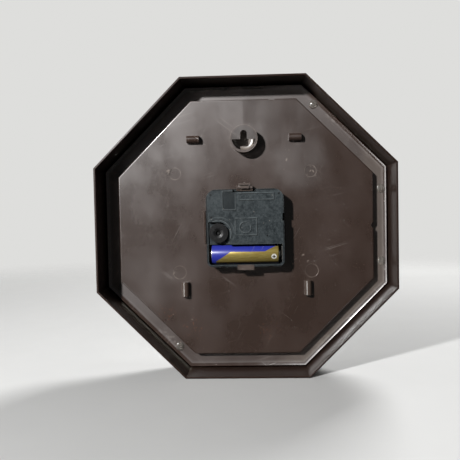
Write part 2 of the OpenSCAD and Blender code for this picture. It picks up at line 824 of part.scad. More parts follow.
module hour_wheel() {
    color(nylon) hung() difference() {
        union() {
            gear(axis_pos, hour_teeth, hour_mod, hour_phase, hour_level);
            rod(axis_pos, hour_r, hour_w - 0.2, hour_level + face_w);
        }
        rod(axis_pos, minute_r + run_fit, hour_w - cut, hour_level + face_w + cut);
    }
}

// Hands

// A tapered hand with a collet that grips its pipe, pointing up before it is turned
module hand(l, root_w, tip_w, tail, hub_r, pipe_r, level, angle) {
    rotate(angle) difference() {
        union() {
            slab(level, level + hand_t) polygon([
                [-root_w * 0.35, -tail], [root_w * 0.35, -tail], [root_w / 2, l * 0.3],
                [tip_w / 2, l - tip_w], [0, l], [-tip_w / 2, l - tip_w], [-root_w / 2, l * 0.3]]);
            slab(level, level + hand_t) circle(hub_r);
            slab(level, level + hand_t + 0.9) circle(pipe_r + 0.9);
        }
        slab(level - cut, level + 2) circle(pipe_r + hand_fit);
    }
}

module hour_hand() {
    color(black) hung() hand(hour_l, 7, 3.4, 14, 5.5, hour_r, hour_w, hour_angle);
}

module minute_hand() {
    color(black) hung() hand(minute_l, 6, 2.6, 18, 4.5, minute_r, minute_w, minute_angle);
}

module second_hand() {
    color([0.6, 0.1, 0.08]) hung() {
        hand(second_l, 1.6, 0.7, tail_l, 3, second_r, second_w, second_angle);
        slab(second_w - 0.7, second_w - 0.31) circle(2.2);
    }
}

case_frame();
lens();
dial_ring();
dial();
back_plate();
glue_drops();
movement_case();
train_plate();
movement_cover();
circuit_board();
quartz_crystal();
chip_cover();
coil_bobbin();
coil_winding();
stator();
negative_contact();
positive_contact();
battery();
setting_knob();
motion_wheel();
minute_arbor();
minute_hand();
hour_wheel();
hour_hand();
second_wheel();
second_hand();
third_wheel();
fifth_wheel();
rotor();
centre_wheel();
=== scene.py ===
"""An octagonal wall clock seen from the back: the looks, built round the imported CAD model."""

from __future__ import annotations

import logging
import math
from contextlib import contextmanager
from dataclasses import dataclass
from enum import Enum
from typing import Any, Callable, Iterator, Sequence

import bpy
from mathutils import Matrix, Vector

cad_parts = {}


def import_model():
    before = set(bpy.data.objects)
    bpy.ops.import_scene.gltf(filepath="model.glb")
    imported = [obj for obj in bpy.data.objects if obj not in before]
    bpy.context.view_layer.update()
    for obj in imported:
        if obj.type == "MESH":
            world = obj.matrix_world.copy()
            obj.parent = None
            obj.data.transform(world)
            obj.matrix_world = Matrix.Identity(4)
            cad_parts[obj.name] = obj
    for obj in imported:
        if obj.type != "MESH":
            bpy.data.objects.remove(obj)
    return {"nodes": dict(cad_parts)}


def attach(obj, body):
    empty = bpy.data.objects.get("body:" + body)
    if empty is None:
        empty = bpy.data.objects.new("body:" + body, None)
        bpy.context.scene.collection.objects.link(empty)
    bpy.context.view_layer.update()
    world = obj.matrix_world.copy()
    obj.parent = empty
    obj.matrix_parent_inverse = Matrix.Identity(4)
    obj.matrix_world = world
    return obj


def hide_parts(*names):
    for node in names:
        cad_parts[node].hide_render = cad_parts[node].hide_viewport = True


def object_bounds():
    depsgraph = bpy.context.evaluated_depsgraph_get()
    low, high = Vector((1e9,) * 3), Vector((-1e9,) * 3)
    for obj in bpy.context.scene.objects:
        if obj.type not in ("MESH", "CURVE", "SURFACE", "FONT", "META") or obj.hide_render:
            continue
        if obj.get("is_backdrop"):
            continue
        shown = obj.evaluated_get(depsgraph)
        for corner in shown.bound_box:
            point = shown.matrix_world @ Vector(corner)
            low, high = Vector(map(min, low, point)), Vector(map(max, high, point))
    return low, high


LOG = logging.getLogger("clock")

Colour = tuple[float, float, float, float]
Point = tuple[float, float]
Circle = tuple[float, float, float]
Box = tuple[float, float, float, float]
Socket = bpy.types.NodeSocket
Piece = bpy.types.Object
Material = bpy.types.Material
Nodes = dict[str, Piece]
Sockets = dict[str, Socket]
Inputs = dict[str, Any]

MM = 0.001
HANGER_RISE = 64.5

# The bench has u to the right seen from the back, v up and w towards the wall, in millimetres
BENCH = Matrix(((-MM, 0, 0, 0), (0, 0, MM, 0), (0, MM, 0, -HANGER_RISE * MM), (0, 0, 0, 1)))

# Depths and places on the bench
BOSS_W = -7.0
PLATE_W = -16.5
FLANGE_W = -23.0
DIAL_W = -26.0
MOVEMENT_W = -5.0
KNOB_AT = (-19.4, -3.4)
CELL_V = -19.2
CELL_W = -12.7
CELL_RADIUS = 7.1


class Body(Enum):
    """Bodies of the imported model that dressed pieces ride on."""

    CASE = "case"
    CELL = "cell"
    KNOB = "knob"
    HOUR = "hour"
    MINUTE = "minute"
    SECOND = "second"


class Slot(Enum):
    """Material slot names, listed beside the dressed pieces but never given to them."""

    CASE = "case_plastic"
    PLATE = "plate_plastic"
    GLUE = "clear_glue"
    MOVEMENT = "movement_plastic"
    METAL = "tinned_metal"
    CELL = "cell_label"
    KNOB = "knob_plastic"
    HAND = "hand_black"
    RED = "hand_red"


class Effect(Enum):
    """Shader node groups that several finishes share."""

    GRAIN = "moulded grain"
    FLOW = "flow tone"
    SCRATCHES = "fine scratches"
    SPECKS = "dust specks"
    WEAR = "edge wear"


def srgb(red: float, green: float, blue: float) -> Colour:
    """A colour given as 0 to 255 on the screen, as the linear colour of a socket.

    Args:
        red: Red part.
        green: Green part.
        blue: Blue part.

    Returns:
        The colour with full alpha.
    """
    def linear(value: float) -> float:
        """One channel."""
        part = value / 255
        return part / 12.92 if part <= 0.04045 else ((part + 0.055) / 1.055) ** 2.4

    return (linear(red), linear(green), linear(blue), 1.0)


class Pen:
    """Draws nodes in one tree, with each input a number, a colour or another node's output."""

    def __init__(self, tree: bpy.types.NodeTree) -> None:
        """Starts on a tree."""
        self.tree = tree

    def put(self, socket: Socket, value: Any) -> None:
        """Gives an input its value or its link.

        Args:
            socket: The input.
            value: A plain value or another node's output.
        """
        if isinstance(value, bpy.types.NodeSocket):
            self.tree.links.new(value, socket)
        else:
            socket.default_value = value

    def node(self, kind: str, inputs: dict[Any, Any] | None = None, **settings: Any) -> bpy.types.Node:
        """Adds a node.

        Args:
            kind: The node's type name.
            inputs: Values or outputs by input name or number.
            settings: Properties of the node.

        Returns:
            The new node.
        """
        made = self.tree.nodes.new(kind)
        for key, value in settings.items():
            setattr(made, key, value)
        for key, value in (inputs or {}).items():
            self.put(made.inputs[key], value)
        return made

    def math(self, operation: str, first: Any, second: Any = 0.0, third: Any = 0.0) -> Socket:
        """A sum of numbers."""
        values = {0: first, 1: second, 2: third}
        return self.node("ShaderNodeMath", values, operation=operation).outputs[0]

    def vector(self, operation: str, first: Any, second: Any = (0, 0, 0)) -> Socket:
        """A sum of vectors."""
        return self.node("ShaderNodeVectorMath", {0: first, 1: second}, operation=operation).outputs[0]

    def measure(self, operation: str, first: Any, second: Any = (0, 0, 0)) -> Socket:
        """A number taken from vectors, such as their distance."""
        values = {0: first, 1: second}
        return self.node("ShaderNodeVectorMath", values, operation=operation).outputs["Value"]

    def span(self, value: Any, low: float, high: float, start: float = 0.0, end: float = 1.0) -> Socket:
        """Takes a value from one span smoothly to another, and holds it at the ends."""
        values = {"Value": value, 1: low, 2: high, 3: start, 4: end}
        return self.node("ShaderNodeMapRange", values, interpolation_type="SMOOTHSTEP").outputs[0]

    def slope(self, value: Any, low: float, high: float, start: float, end: float) -> Socket:
        """Takes a value from one span straight to another, and holds it at the ends."""
        return self.node("ShaderNodeMapRange", {"Value": value, 1: low, 2: high, 3: start, 4: end}).outputs[0]

    def noise(self, vector: Any, scale: Any, detail: float = 2.0, rough: float = 0.5) -> Socket:
        """Noise from 0 to 1."""
        values = {"Vector": vector, "Scale": scale, "Detail": detail, "Roughness": rough}
        return self.node("ShaderNodeTexNoise", values).outputs[0]

    def mix(self, share: Any, first: Any, second: Any) -> Socket:
        """A blend of two colours."""
        values = {0: share, 6: first, 7: second}
        return self.node("ShaderNodeMix", values, data_type="RGBA").outputs[2]

    def painted(self, colour: Any, mask: Any, share: float, tone: Any) -> Socket:
        """A colour with a share of a tone over it, where a mask lets it."""
        return self.mix(self.math("MULTIPLY", mask, share), colour, tone)

    def raised(self, value: Any, mask: Any, share: Any) -> Socket:
        """A value with a share of a mask added to it."""
        return self.math("MULTIPLY_ADD", mask, share, value)

    def bump(self, depth_mm: float, height: Socket) -> Socket:
        """The normal that a height bends."""
        return self.node("ShaderNodeBump", {"Distance": depth_mm * MM, "Height": height}).outputs[0]

    def either(self, *masks: Any) -> Socket:
        """The largest of several masks.

        Args:
            masks: Masks or plain numbers.

        Returns:
            The largest.
        """
        result = masks[0]
        for mask in masks[1:]:
            result = self.math("MAXIMUM", result, mask)
        return result

    def both(self, *masks: Any) -> Socket:
        """Masks multiplied.

        Args:
            masks: Masks or plain numbers.

        Returns:
            Their product.
        """
        result = masks[0]
        for mask in masks[1:]:
            result = self.math("MULTIPLY", result, mask)
        return result

    def within(self, value: Any, low: float, high: float) -> Socket:
        """A sharp mask of where a value lies between two others."""
        return self.both(self.math("GREATER_THAN", value, low), self.math("LESS_THAN", value, high))

    def place(self) -> Socket:
        """The point on the piece, in metres."""
        return self.node("ShaderNodeTexCoord").outputs["Object"]

    def stretched(self, x: float, y: float, z: float) -> Socket:
        """The point on the piece with each of its axes scaled."""
        return self.vector("MULTIPLY", self.place(), (x, y, z))

    def bench(self) -> tuple[Socket, Socket, Socket]:
        """The point on the piece as bench coordinates u, v and w, in millimetres.

        Returns:
            The three coordinates.
        """
        parts = self.node("ShaderNodeSeparateXYZ", {0: self.place()}).outputs
        u = self.math("MULTIPLY", parts[0], -1 / MM)
        v = self.math("MULTIPLY_ADD", parts[2], 1 / MM, HANGER_RISE)
        return u, v, self.math("MULTIPLY", parts[1], 1 / MM)

    def away(self, u: float, v: float) -> Socket:
        """How far the point is from a bench point, in metres, seen along the depth."""
        return self.measure("DISTANCE", self.stretched(1, 0, 1), BENCH @ Vector((u, v, 0)))

    def line(self, off: Socket, half: float) -> Socket:
        """A soft line where a distance is small, with half of its width given in the same unit."""
        return self.span(self.math("ABSOLUTE", off), 1.5 * half, 0.5 * half)

    def stroke(self, start: Point, end: Point, half: float) -> Socket:
        """A straight line between two bench points, faint at its ends.

        Args:
            start: First point.
            end: Last point.
            half: Half of the line's width in millimetres.

        Returns:
            The mask.
        """
        first, last = (BENCH @ Vector((*point, 0)) for point in (start, end))
        run = last - first
        past = self.vector("SUBTRACT", self.stretched(1, 0, 1), first)
        share = self.measure("DOT_PRODUCT", past, run / run.length_squared)
        scaled = {0: run, "Scale": self.span(share, 0.0, 1.0)}
        foot = self.node("ShaderNodeVectorMath", scaled, operation="SCALE").outputs[0]
        off = self.measure("DISTANCE", past, foot)
        ends = self.both(self.span(share, -0.1, 0.2), self.span(share, 1.1, 0.8))
        return self.both(self.span(off, 1.6 * half * MM, 0.4 * half * MM), ends)

    def ring(self, u: float, v: float, radius: float, half: float) -> Socket:
        """A round line about a bench point, with its radius and half its width in millimetres."""
        return self.line(self.math("SUBTRACT", self.away(u, v), radius * MM), half * MM)

    def outline(self, box: Box, shift: float, half: float) -> Socket:
        """The line round a box.

        Args:
            box: Left, right, low and high edges on the bench.
            shift: How far the line is moved to the lower right.
            half: Half of the line's width in millimetres.

        Returns:
            The mask.
        """
        u, v, _ = self.bench()
        left, right, low, high = box
        sides = []
        for place, centre, reach in ((u, (left + right) / 2 + shift, (right - left) / 2),
                                     (v, (low + high) / 2 - shift, (high - low) / 2)):
            off_centre = self.math("ABSOLUTE", self.math("SUBTRACT", place, centre))
            sides.append(self.math("SUBTRACT", off_centre, reach))
        return self.line(self.math("MAXIMUM", *sides), half)

    def spot(self, u: float, v: float, radius: float, soft: float = 0.6) -> Socket:
        """A round mask about a bench point, which fades over a share of its radius."""
        return self.span(self.away(u, v), radius * MM, radius * (1 - soft) * MM)

    def spots(self, circles: Sequence[Circle]) -> Socket:
        """Several soft spots in one mask."""
        return self.either(*(self.spot(*circle) for circle in circles))

    def effect(self, kind: Effect, **inputs: Any) -> Any:
        """Places a shared effect with its own values, and gives its outputs.

        Args:
            kind: The effect.
            inputs: Its input values, named in small letters.

        Returns:
            The outputs by name.
        """
        made = self.node("ShaderNodeGroup", node_tree=shared_effect(kind))
        for key, value in inputs.items():
            self.put(made.inputs[key.capitalize()], value)
        return made.outputs


def draw_grain(pen: Pen, ins: Sockets) -> Sockets:
    """Fine moulded grain with a few coarser waves.

    Args:
        pen: The pen on the group.
        ins: The group's inputs.

    Returns:
        The height and the tone.
    """
    scale = pen.math("DIVIDE", 1.0, ins["Size"])
    fine = pen.noise(ins["Vector"], scale, 3.0, 0.6)
    coarse = pen.noise(ins["Vector"], pen.both(scale, 0.12))
    return {"Height": pen.raised(pen.both(fine, 0.4), coarse, 0.6), "Tone": fine}


def draw_flow(pen: Pen, ins: Sockets) -> Sockets:
    """Broad streaks that the melt leaves as it fills the mould.

    Args:
        pen: The pen on the group.
        ins: The group's inputs.

    Returns:
        The tone.
    """
    scale = pen.math("DIVIDE", 1.0, ins["Size"])
    broad = pen.noise(pen.vector("MULTIPLY", ins["Vector"], (1.4, 1.0, 0.8)), scale, 4.0, 0.55)
    return {"Tone": pen.span(broad, 0.32, 0.7)}


def draw_scratches(pen: Pen, ins: Sockets) -> Sockets:
    """Hair scratches in three directions, in patches.

    Args:
        pen: The pen on the group.
        ins: The group's inputs.

    Returns:
        The mask.
    """
    lines = []
    for turn, length in ((0.5, 50.0), (-0.9, 40.0), (1.3, 70.0)):
        turned = pen.node("ShaderNodeMapping", {"Vector": ins["Vector"], "Rotation": (0, turn, 0)}).outputs[0]
        thin = pen.vector("MULTIPLY", turned, (1800.0, 60.0, 1000.0 / length))
        lines.append(pen.span(pen.noise(thin, 1.0, 0.0), 0.74, 0.8))
    patch = pen.span(pen.noise(ins["Vector"], 42.0), 0.5, 0.68)
    return {"Mask": pen.both(pen.either(*lines), patch, ins["Amount"])}


def draw_specks(pen: Pen, ins: Sockets) -> Sockets:
    """Single specks of dust, each a little different.

    Args:
        pen: The pen on the group.
        ins: The group's inputs.

    Returns:
        The mask.
    """
    scale = pen.math("DIVIDE", 1.0, ins["Size"])
    cells = pen.node("ShaderNodeTexVoronoi", {"Vector": ins["Vector"], "Scale": scale})
    chance = pen.node("ShaderNodeSeparateColor", {0: cells.outputs["Color"]}).outputs
    near = pen.math("LESS_THAN", cells.outputs["Distance"], pen.both(chance[1], 0.22))
    return {"Mask": pen.both(near, pen.math("LESS_THAN", chance[0], ins["Amount"]))}


def draw_wear(pen: Pen, ins: Sockets) -> Sockets:
    """Rubbed edges, found where the softened normal leaves the true one.

    Args:
        pen: The pen on the group.
        ins: The group's inputs.

    Returns:
        The mask.
    """
    soft = pen.node("ShaderNodeBevel", {"Radius": ins["Radius"]}, samples=6).outputs[0]
    alike = pen.measure("DOT_PRODUCT", soft, pen.node("ShaderNodeNewGeometry").outputs["Normal"])
    broken = pen.span(pen.noise(ins["Vector"], 900.0, 3.0), 0.35, 0.6)
    return {"Mask": pen.both(pen.span(alike, 0.995, 0.9), broken, ins["Amount"])}


# Each effect's number inputs, its outputs and what draws it
EFFECTS: dict[Effect, tuple[list[str], list[str], Callable[..., Sockets]]] = {
    Effect.GRAIN: (["Size"], ["Height", "Tone"], draw_grain),
    Effect.FLOW: (["Size"], ["Tone"], draw_flow),
    Effect.SCRATCHES: (["Amount"], ["Mask"], draw_scratches),
    Effect.SPECKS: (["Size", "Amount"], ["Mask"], draw_specks),
    Effect.WEAR: (["Radius", "Amount"], ["Mask"], draw_wear),
}


def shared_effect(kind: Effect) -> bpy.types.NodeTree:
    """The node group of an effect, made the first time it is asked for.

    Args:
        kind: The effect.

    Returns:
        The group's tree.
    """
    if kind.value in bpy.data.node_groups:
        return bpy.data.node_groups[kind.value]
    numbers, outputs, draw = EFFECTS[kind]
    tree = bpy.data.node_groups.new(kind.value, "ShaderNodeTree")
    tree.interface.new_socket(name="Vector", in_out="INPUT", socket_type="NodeSocketVector")
    for side, names in (("INPUT", numbers), ("OUTPUT", outputs)):
        for name in names:
            tree.interface.new_socket(name=name, in_out=side, socket_type="NodeSocketFloat")
    pen = Pen(tree)
    entry = pen.node("NodeGroupInput")
    results = draw(pen, {name: entry.outputs[name] for name in ["Vector", *numbers]})
    pen.node("NodeGroupOutput", results)
    return tree


@dataclass(frozen=True)
class Finish:
    """A finish of the clock, drawn by each kind in its own way."""

    name: str

    def draw(self, pen: Pen) -> Inputs:
        """Draws what the shader's inputs take, by their names.

        Args:
            pen: The pen on the material.

        Returns:
            A value or a node's output for each input of the shader.
        """
        raise NotImplementedError

    def make(self) -> Material:
        """Builds the material.

        Returns:
            The material.
        """
        made = bpy.data.materials.new(self.name)
        made.use_nodes = True
        made.node_tree.nodes.clear()
        pen = Pen(made.node_tree)
        shader = pen.node("ShaderNodeBsdfPrincipled", self.draw(pen))
        pen.node("ShaderNodeOutputMaterial", {"Surface": shader.outputs[0]})
        return made


@dataclass(frozen=True)
class Moulded(Finish):
    """Moulded plastic with grain, flow streaks, scratches, dust and rubbed edges."""

    colour: Colour
    flow: Colour
    worn: Colour
    roughness: float
    gloss: float = 0.5
    grain_mm: float = 0.5
    bump_mm: float = 0.02
    flow_mm: float = 45.0
    dust_mm: float = 2.2
    edge_mm: float = 0.4
    scratches: float = 0.6
    specks: float = 0.08
    wear: float = 0.6
    ior: float = 1.5
    dusty: Colour = srgb(150, 144, 136)

    def marks(self, pen: Pen, colour: Any, rough: Any) -> tuple[Any, Any]:
        """Marks of one piece only: none here.

        Args:
            pen: The pen on the material.
            colour: The colour so far.
            rough: The roughness so far.

        Returns:
            The colour and the roughness with the marks on them.
        """
        return colour, rough

    def draw(self, pen: Pen) -> Inputs:
        """Draws the plastic."""
        where = pen.place()
        grain = pen.effect(Effect.GRAIN, vector=where, size=self.grain_mm * MM)
        flow = pen.effect(Effect.FLOW, vector=where, size=self.flow_mm * MM)["Tone"]
        lines = pen.effect(Effect.SCRATCHES, vector=where, amount=self.scratches)["Mask"]
        dust = pen.effect(Effect.SPECKS, vector=where, size=self.dust_mm * MM, amount=self.specks)["Mask"]
        rubbed = pen.effect(Effect.WEAR, vector=where, radius=self.edge_mm * MM, amount=self.wear)["Mask"]
        colour = pen.mix(flow, self.colour, self.flow)
        rough = pen.raised(pen.raised(self.roughness - 0.03, flow, 0.09), grain["Tone"], 0.06)
        colour, rough = self.marks(pen, colour, rough)
        colour = pen.mix(pen.either(pen.both(lines, 0.5), rubbed), colour, self.worn)
        height = pen.math("SUBTRACT", grain["Height"], pen.both(lines, 0.6))
        return {"Base Color": pen.painted(colour, dust, 0.6, self.dusty),
                "Roughness": pen.raised(rough, pen.either(dust, lines, rubbed), 0.25),
                "Normal": pen.bump(self.bump_mm, height),
                "Specular IOR Level": self.gloss,
                "IOR": self.ior}


@dataclass(frozen=True)
class PlateMoulding(Moulded):
    """The back plate's plastic, with its worn flange, its flow line, its rust specks, and painted highlights
    and sheen.
    """

    # Circles where a light ring is painted: a painted highlight on the lit edges of the ejector marks and on
    # the hanger boss's rim.
    pins: Sequence[Circle] = ((-51.5, 40.7, 4.3), (48.5, 40.7, 4.3), (-49.5, -32.7, 4.9), (48.5, -32.7, 4.9),
                              (0, HANGER_RISE, 9.9))
    scuffs: Sequence[tuple[Point, Point, float]] = (
        ((-61.4, 41.2), (-51.5, 45.1), 0.6), ((-59.0, 39.5), (-53.0, 44.0), 0.4),
        ((33.1, 56.5), (29.2, 42.1), 0.5), ((30.6, 56.6), (38.3, 78.1), 0.4),
        ((36.7, -23.9), (47.7, -18.1), 0.5), ((40.6, -28.5), (50.9, -22.5), 0.4),
        ((48.6, 44.2), (52.5, 36.8), 0.5), ((46.0, 38.0), (51.0, 43.5), 0.4),
        ((-56.0, -36.5), (-52.0, -30.0), 0.5), ((-46.0, -66.0), (-36.0, -70.0), 0.35))
    haze: Sequence[tuple[Circle, float]] = (((40, 50, 30), 1.0), ((22, 94, 55), 0.8), ((-80, -45, 40), 0.3))
    # Spots over the clip hooks, which are lightened partly as rubbed wear and partly as a painted highlight.
    hooks: Sequence[Circle] = ((0, 31.5, 8), (0, -31, 8))
    patches: Sequence[Circle] = ((60, -93, 17), (74, -80, 11), (-62, -88, 15), (-98, 40, 10), (-66, 84, 13),
                                 (70, 84, 12))
    rusty: Sequence[Circle] = ((17, -77, 10), (-60, -62, 10), (-40, -74, 12))
    rust_mm: float = 1.5
    rust: Colour = srgb(150, 92, 60)
    # Pale tone of the worn flange patches, and also of the painted sheen on the flange's right-hand side.
    chalky: Colour = srgb(124, 112, 102)
    shaded: Colour = srgb(38, 30, 26)
    flow_line: Colour = srgb(44, 32, 27)

    def scraped(self, pen: Pen, colour: Any, near_plate: Socket, faces: Socket) -> Any:
        """Adds painted highlight rings round the ejector marks and the hanger boss's rim, and the scuffs.

        Args:
            pen: The pen on the material.
            colour: The colour so far.
            near_plate: Mask of all that stands at the plate's face or above it.
            faces: Mask of the flat faces.

        Returns:
            The colour with the marks on it.
        """
        where = pen.place()
        broken = pen.span(pen.noise(where, 300.0, 3.0), 0.38, 0.62, 0.35, 1.0)
        for pin in self.pins:
            colour = pen.painted(colour, pen.both(pen.ring(*pin, 0.28), broken, near_plate), 0.6, self.worn)
        scuffs = pen.either(*(pen.stroke(*scuff) for scuff in self.scuffs))
        thin = pen.span(pen.noise(where, 700.0, 3.0), 0.1, 0.4)
        return pen.mix(pen.both(scuffs, thin, faces), colour, self.worn)

    def marks(self, pen: Pen, colour: Any, rough: Any) -> tuple[Any, Any]:
        """Adds the marks that only the plate has."""
        u, v, w = pen.bench()
        near_plate = pen.span(w, PLATE_W - 0.9, PLATE_W - 0.6)
        low = pen.span(w, FLANGE_W + 0.4, FLANGE_W + 0.1)
        faces = pen.either(pen.both(near_plate, pen.span(w, PLATE_W + 0.5, PLATE_W + 0.2)),
                           pen.span(w, BOSS_W - 0.4, BOSS_W - 0.1), low)
        flange = pen.both(low, pen.span(w, FLANGE_W - 0.6, FLANGE_W - 0.2))
        streaks = pen.noise(pen.stretched(1.0, 1.0, 0.35), 90.0, 5.0, 0.6)
        smear = pen.span(pen.noise(pen.stretched(0.4, 1.0, 1.0), 55.0, 2.0, 0.45), 0.2, 0.8)
        haze = pen.either(*(pen.both(pen.spot(*circle), share) for circle, share in self.haze))
        haze = pen.both(haze, pen.span(streaks, 0.2, 0.7, 0.5, 1.0))
        lugs = pen.both(pen.span(w, PLATE_W + 0.7, PLATE_W + 1.0), pen.span(v, -34.0, -35.0))
        ragged = pen.span(pen.noise(pen.place(), 260.0, 5.0, 0.65), 0.5, 0.56)
        patches = pen.both(pen.spots(self.patches), ragged, flange)
        beside = pen.both(pen.span(u, -0.5, 0.1), pen.span(u, 26.0, 4.0), pen.span(v, 72.0, 78.0))
        for mask, share in ((faces, 0.07), (haze, 0.16), (smear, -0.045), (lugs, -0.1), (flange, 0.16),
                            (patches, 0.15), (beside, -0.05)):
            rough = pen.raised(rough, mask, share)
        colour = self.scraped(pen, colour, near_plate, faces)
        # The clip hooks and the lower lugs are lightened in the worn tone: partly rubbed wear, partly a
        # painted highlight.
        hooks = pen.both(pen.span(w, -12.0, -11.0), pen.spots(self.hooks))
        hollow = pen.both(pen.spot(0, HANGER_RISE, 9.0, 0.1), pen.span(w, BOSS_W - 1.0, BOSS_W - 0.6))
        # Painted sheen: the flange's right and lower right sides are lightened as if lit.
        right = pen.either(pen.span(u, 84.0, 92.0), pen.span(pen.math("SUBTRACT", u, v), 120.0, 132.0))
        right = pen.both(right, flange, pen.span(streaks, 0.2, 0.7, 0.25, 0.5))
        specks = pen.effect(Effect.SPECKS, vector=pen.place(), size=self.rust_mm * MM, amount=1.0)["Mask"]
        for mask, share, tone in (
            (pen.either(lugs, hooks), 0.25, self.worn), (hollow, 0.45, self.shaded),
            (patches, 0.45, self.chalky), (right, 1.0, self.chalky), (beside, 0.2, self.flow_line),
            (pen.both(specks, pen.spots(self.rusty)), 0.9, self.rust),
        ):
            colour = pen.painted(colour, mask, share, tone)
        return colour, rough


@dataclass(frozen=True)
class CaseMoulding(Moulded):
    """The case's plastic, glossy inside the skirt and satin outside it and on the bezel."""

    def marks(self, pen: Pen, colour: Any, rough: Any) -> tuple[Any, Any]:
        """Turns the gloss satin on the faces that look outwards."""
        _, _, w = pen.bench()
        out = pen.vector("SUBTRACT", pen.place(), BENCH.translation)
        outwards = pen.measure("DOT_PRODUCT", out, pen.node("ShaderNodeNewGeometry").outputs["True Normal"])
        satin = pen.either(pen.span(w, -30.0, -36.5), pen.span(outwards, 0.05, 0.08))
        return colour, pen.raised(rough, satin, 0.3)


@dataclass(frozen=True)
class ShellMoulding(Moulded):
    """The movement's plastic, mottled, with a smooth dark panel where the cover is recessed."""

    panel: Box = (-16.0, -6.9, 13.5, 25.9)
    frames: Sequence[Box] = ((-4.7, 20.7, 20.3, 25.2), (-7.2, 8.3, -5.0, 7.2), (-16.0, -6.9, 13.5, 27.0))
    edge: Box = (-28.0, 28.0, -28.0, 28.0)
    pins: Sequence[Point] = ((24.6, 24.3), (-24.2, 7.9), (15.9, -5.8), (-24.5, 24.0))
    panel_tone: Colour = srgb(24, 29, 31)
    # Painted shade along the cover's edge, with dark spots at the pins.
    grime_tone: Colour = srgb(10, 12, 13)
    # Painted shadow to the lower right of the raised frames, and painted highlight on them.
    shade: Colour = srgb(8, 10, 11)
    shine: Colour = srgb(120, 128, 130)

    def relief(self, pen: Pen, shift: float) -> Socket:
        """The lines of the cover's raised frames, for their painted shadow and highlight, moved a little to
        the lower right for the shadow.

        Args:
            pen: The pen on the material.
            shift: How far the lines are moved, in millimetres.

        Returns:
            The mask.
        """
        u, v, w = pen.bench()
        corner = pen.both(pen.span(u, -28.0, -27.5), pen.span(v, -9.0, -8.5))
        inner, outer = (pen.ring(*KNOB_AT, radius + shift, 0.35) for radius in (9.2, 11.6))
        lines = [pen.ring(shift, 0.6 - shift, 4.0, 0.3), pen.both(inner, corner),
                 pen.both(outer, corner, 0.6)]
        lines += [pen.outline(box, shift, 0.3) for box in self.frames]
        return pen.both(pen.either(*lines), pen.span(w, MOVEMENT_W - 0.6, MOVEMENT_W - 0.3))

    def marks(self, pen: Pen, colour: Any, rough: Any) -> tuple[Any, Any]:
        """Adds the mottle, the panel, the painted shadow and highlight of the raised frames and the painted
        shade along the cover's edge.
        """
        u, v, _ = pen.bench()
        left, right, low, high = self.panel
        inside = pen.both(pen.within(u, left, right), pen.within(v, low, high))
        mottle = pen.span(pen.noise(pen.place(), 520.0, 4.0, 0.7), 0.35, 0.68)
        mottle = pen.both(mottle, pen.raised(1.0, inside, -0.85))
        colour = pen.painted(colour, mottle, 0.35, self.worn)
        colour = pen.painted(colour, inside, 0.5, self.panel_tone)
        faint = pen.span(pen.noise(pen.place(), 260.0, 3.0), 0.35, 0.6, 0.35, 1.0)
        # Painted shadow of the raised frames, moved to the lower right, then painted highlight on them.
        for tone, shift, share in ((self.shade, 0.45, 0.85), (self.shine, 0.0, 0.4)):
            colour = pen.painted(colour, pen.both(self.relief(pen, shift), faint), share, tone)
        # Painted shade along the cover's edge, and dark spots at the pins.
        shade_and_grime = pen.either(pen.outline(self.edge, 0.0, 0.8), *(pen.spot(*pin, 1.1, 0.5) for pin in self.pins))
        return pen.painted(colour, shade_and_grime, 0.8, self.grime_tone), pen.raised(rough, mottle, 0.12)


@dataclass(frozen=True)
class TurnedPlastic(Moulded):
    """Glossy plastic with the fine rings of a turned mould about one bench point."""

    centre: Point = (0.0, 0.0)
    ring_mm: float = 0.55

    def marks(self, pen: Pen, colour: Any, rough: Any) -> tuple[Any, Any]:
        """Adds the rings."""
        wave = 2 * math.pi / (self.ring_mm * MM)
        rings = pen.math("SINE", pen.both(pen.away(*self.centre), wave))
        return colour, pen.raised(rough, rings, 0.05)


@dataclass(frozen=True)
class Metal(Finish):
    """Sheet or drawn metal with a brushed grain and dull spots."""

    colour: Colour
    dull: Colour
    roughness: float

    def draw(self, pen: Pen) -> Inputs:
        """Draws the metal."""
        brushed = pen.noise(pen.stretched(1.0, 1.0, 12.0), 700.0, 3.0)
        spots = pen.span(pen.noise(pen.place(), 320.0, 4.0), 0.5, 0.72)
        return {"Base Color": pen.mix(spots, self.colour, self.dull),
                "Roughness": pen.raised(pen.raised(self.roughness, spots, 0.18), brushed, 0.14),
                "Normal": pen.bump(0.004, brushed),
                "Metallic": 1.0}


@dataclass(frozen=True)
class ClearSheet(Finish):
    """Clear plastic with waves in its surface and dust on it."""

    colour: Colour
    dusty: Colour
    roughness: float
    ior: float
    wave_mm: float
    bump_mm: float

    def draw(self, pen: Pen) -> Inputs:
        """Draws the sheet."""
        where = pen.place()
        dust = pen.effect(Effect.SPECKS, vector=where, size=3 * MM, amount=0.12)["Mask"]
        return {"Base Color": pen.mix(dust, self.colour, self.dusty),
                "Roughness": pen.raised(self.roughness, dust, 0.3),
                "Normal": pen.bump(self.bump_mm, pen.noise(where, 1 / (self.wave_mm * MM), 3.0)),
                "IOR": self.ior,
                "Transmission Weight": 1.0}


@dataclass(frozen=True)
class MilkyGlue(Finish):
    """Set hot glue: cloudy, wet looking, with a few bubbles."""

    body: Colour
    cloud: Colour
    bubble: Colour

    def draw(self, pen: Pen) -> Inputs:
        """Draws the glue."""
        where = pen.place()
        clouds = pen.noise(where, 420.0, 3.0)
        bubbles = pen.effect(Effect.SPECKS, vector=where, size=1.1 * MM, amount=0.2)["Mask"]
        tone = pen.mix(pen.span(clouds, 0.3, 0.7), self.body, self.cloud)
        return {"Base Color": pen.mix(bubbles, tone, self.bubble),
                "Roughness": pen.raised(0.08, clouds, 0.08),
                "Normal": pen.bump(0.08, clouds),
                "IOR": 1.48,
                "Transmission Weight": 0.78}


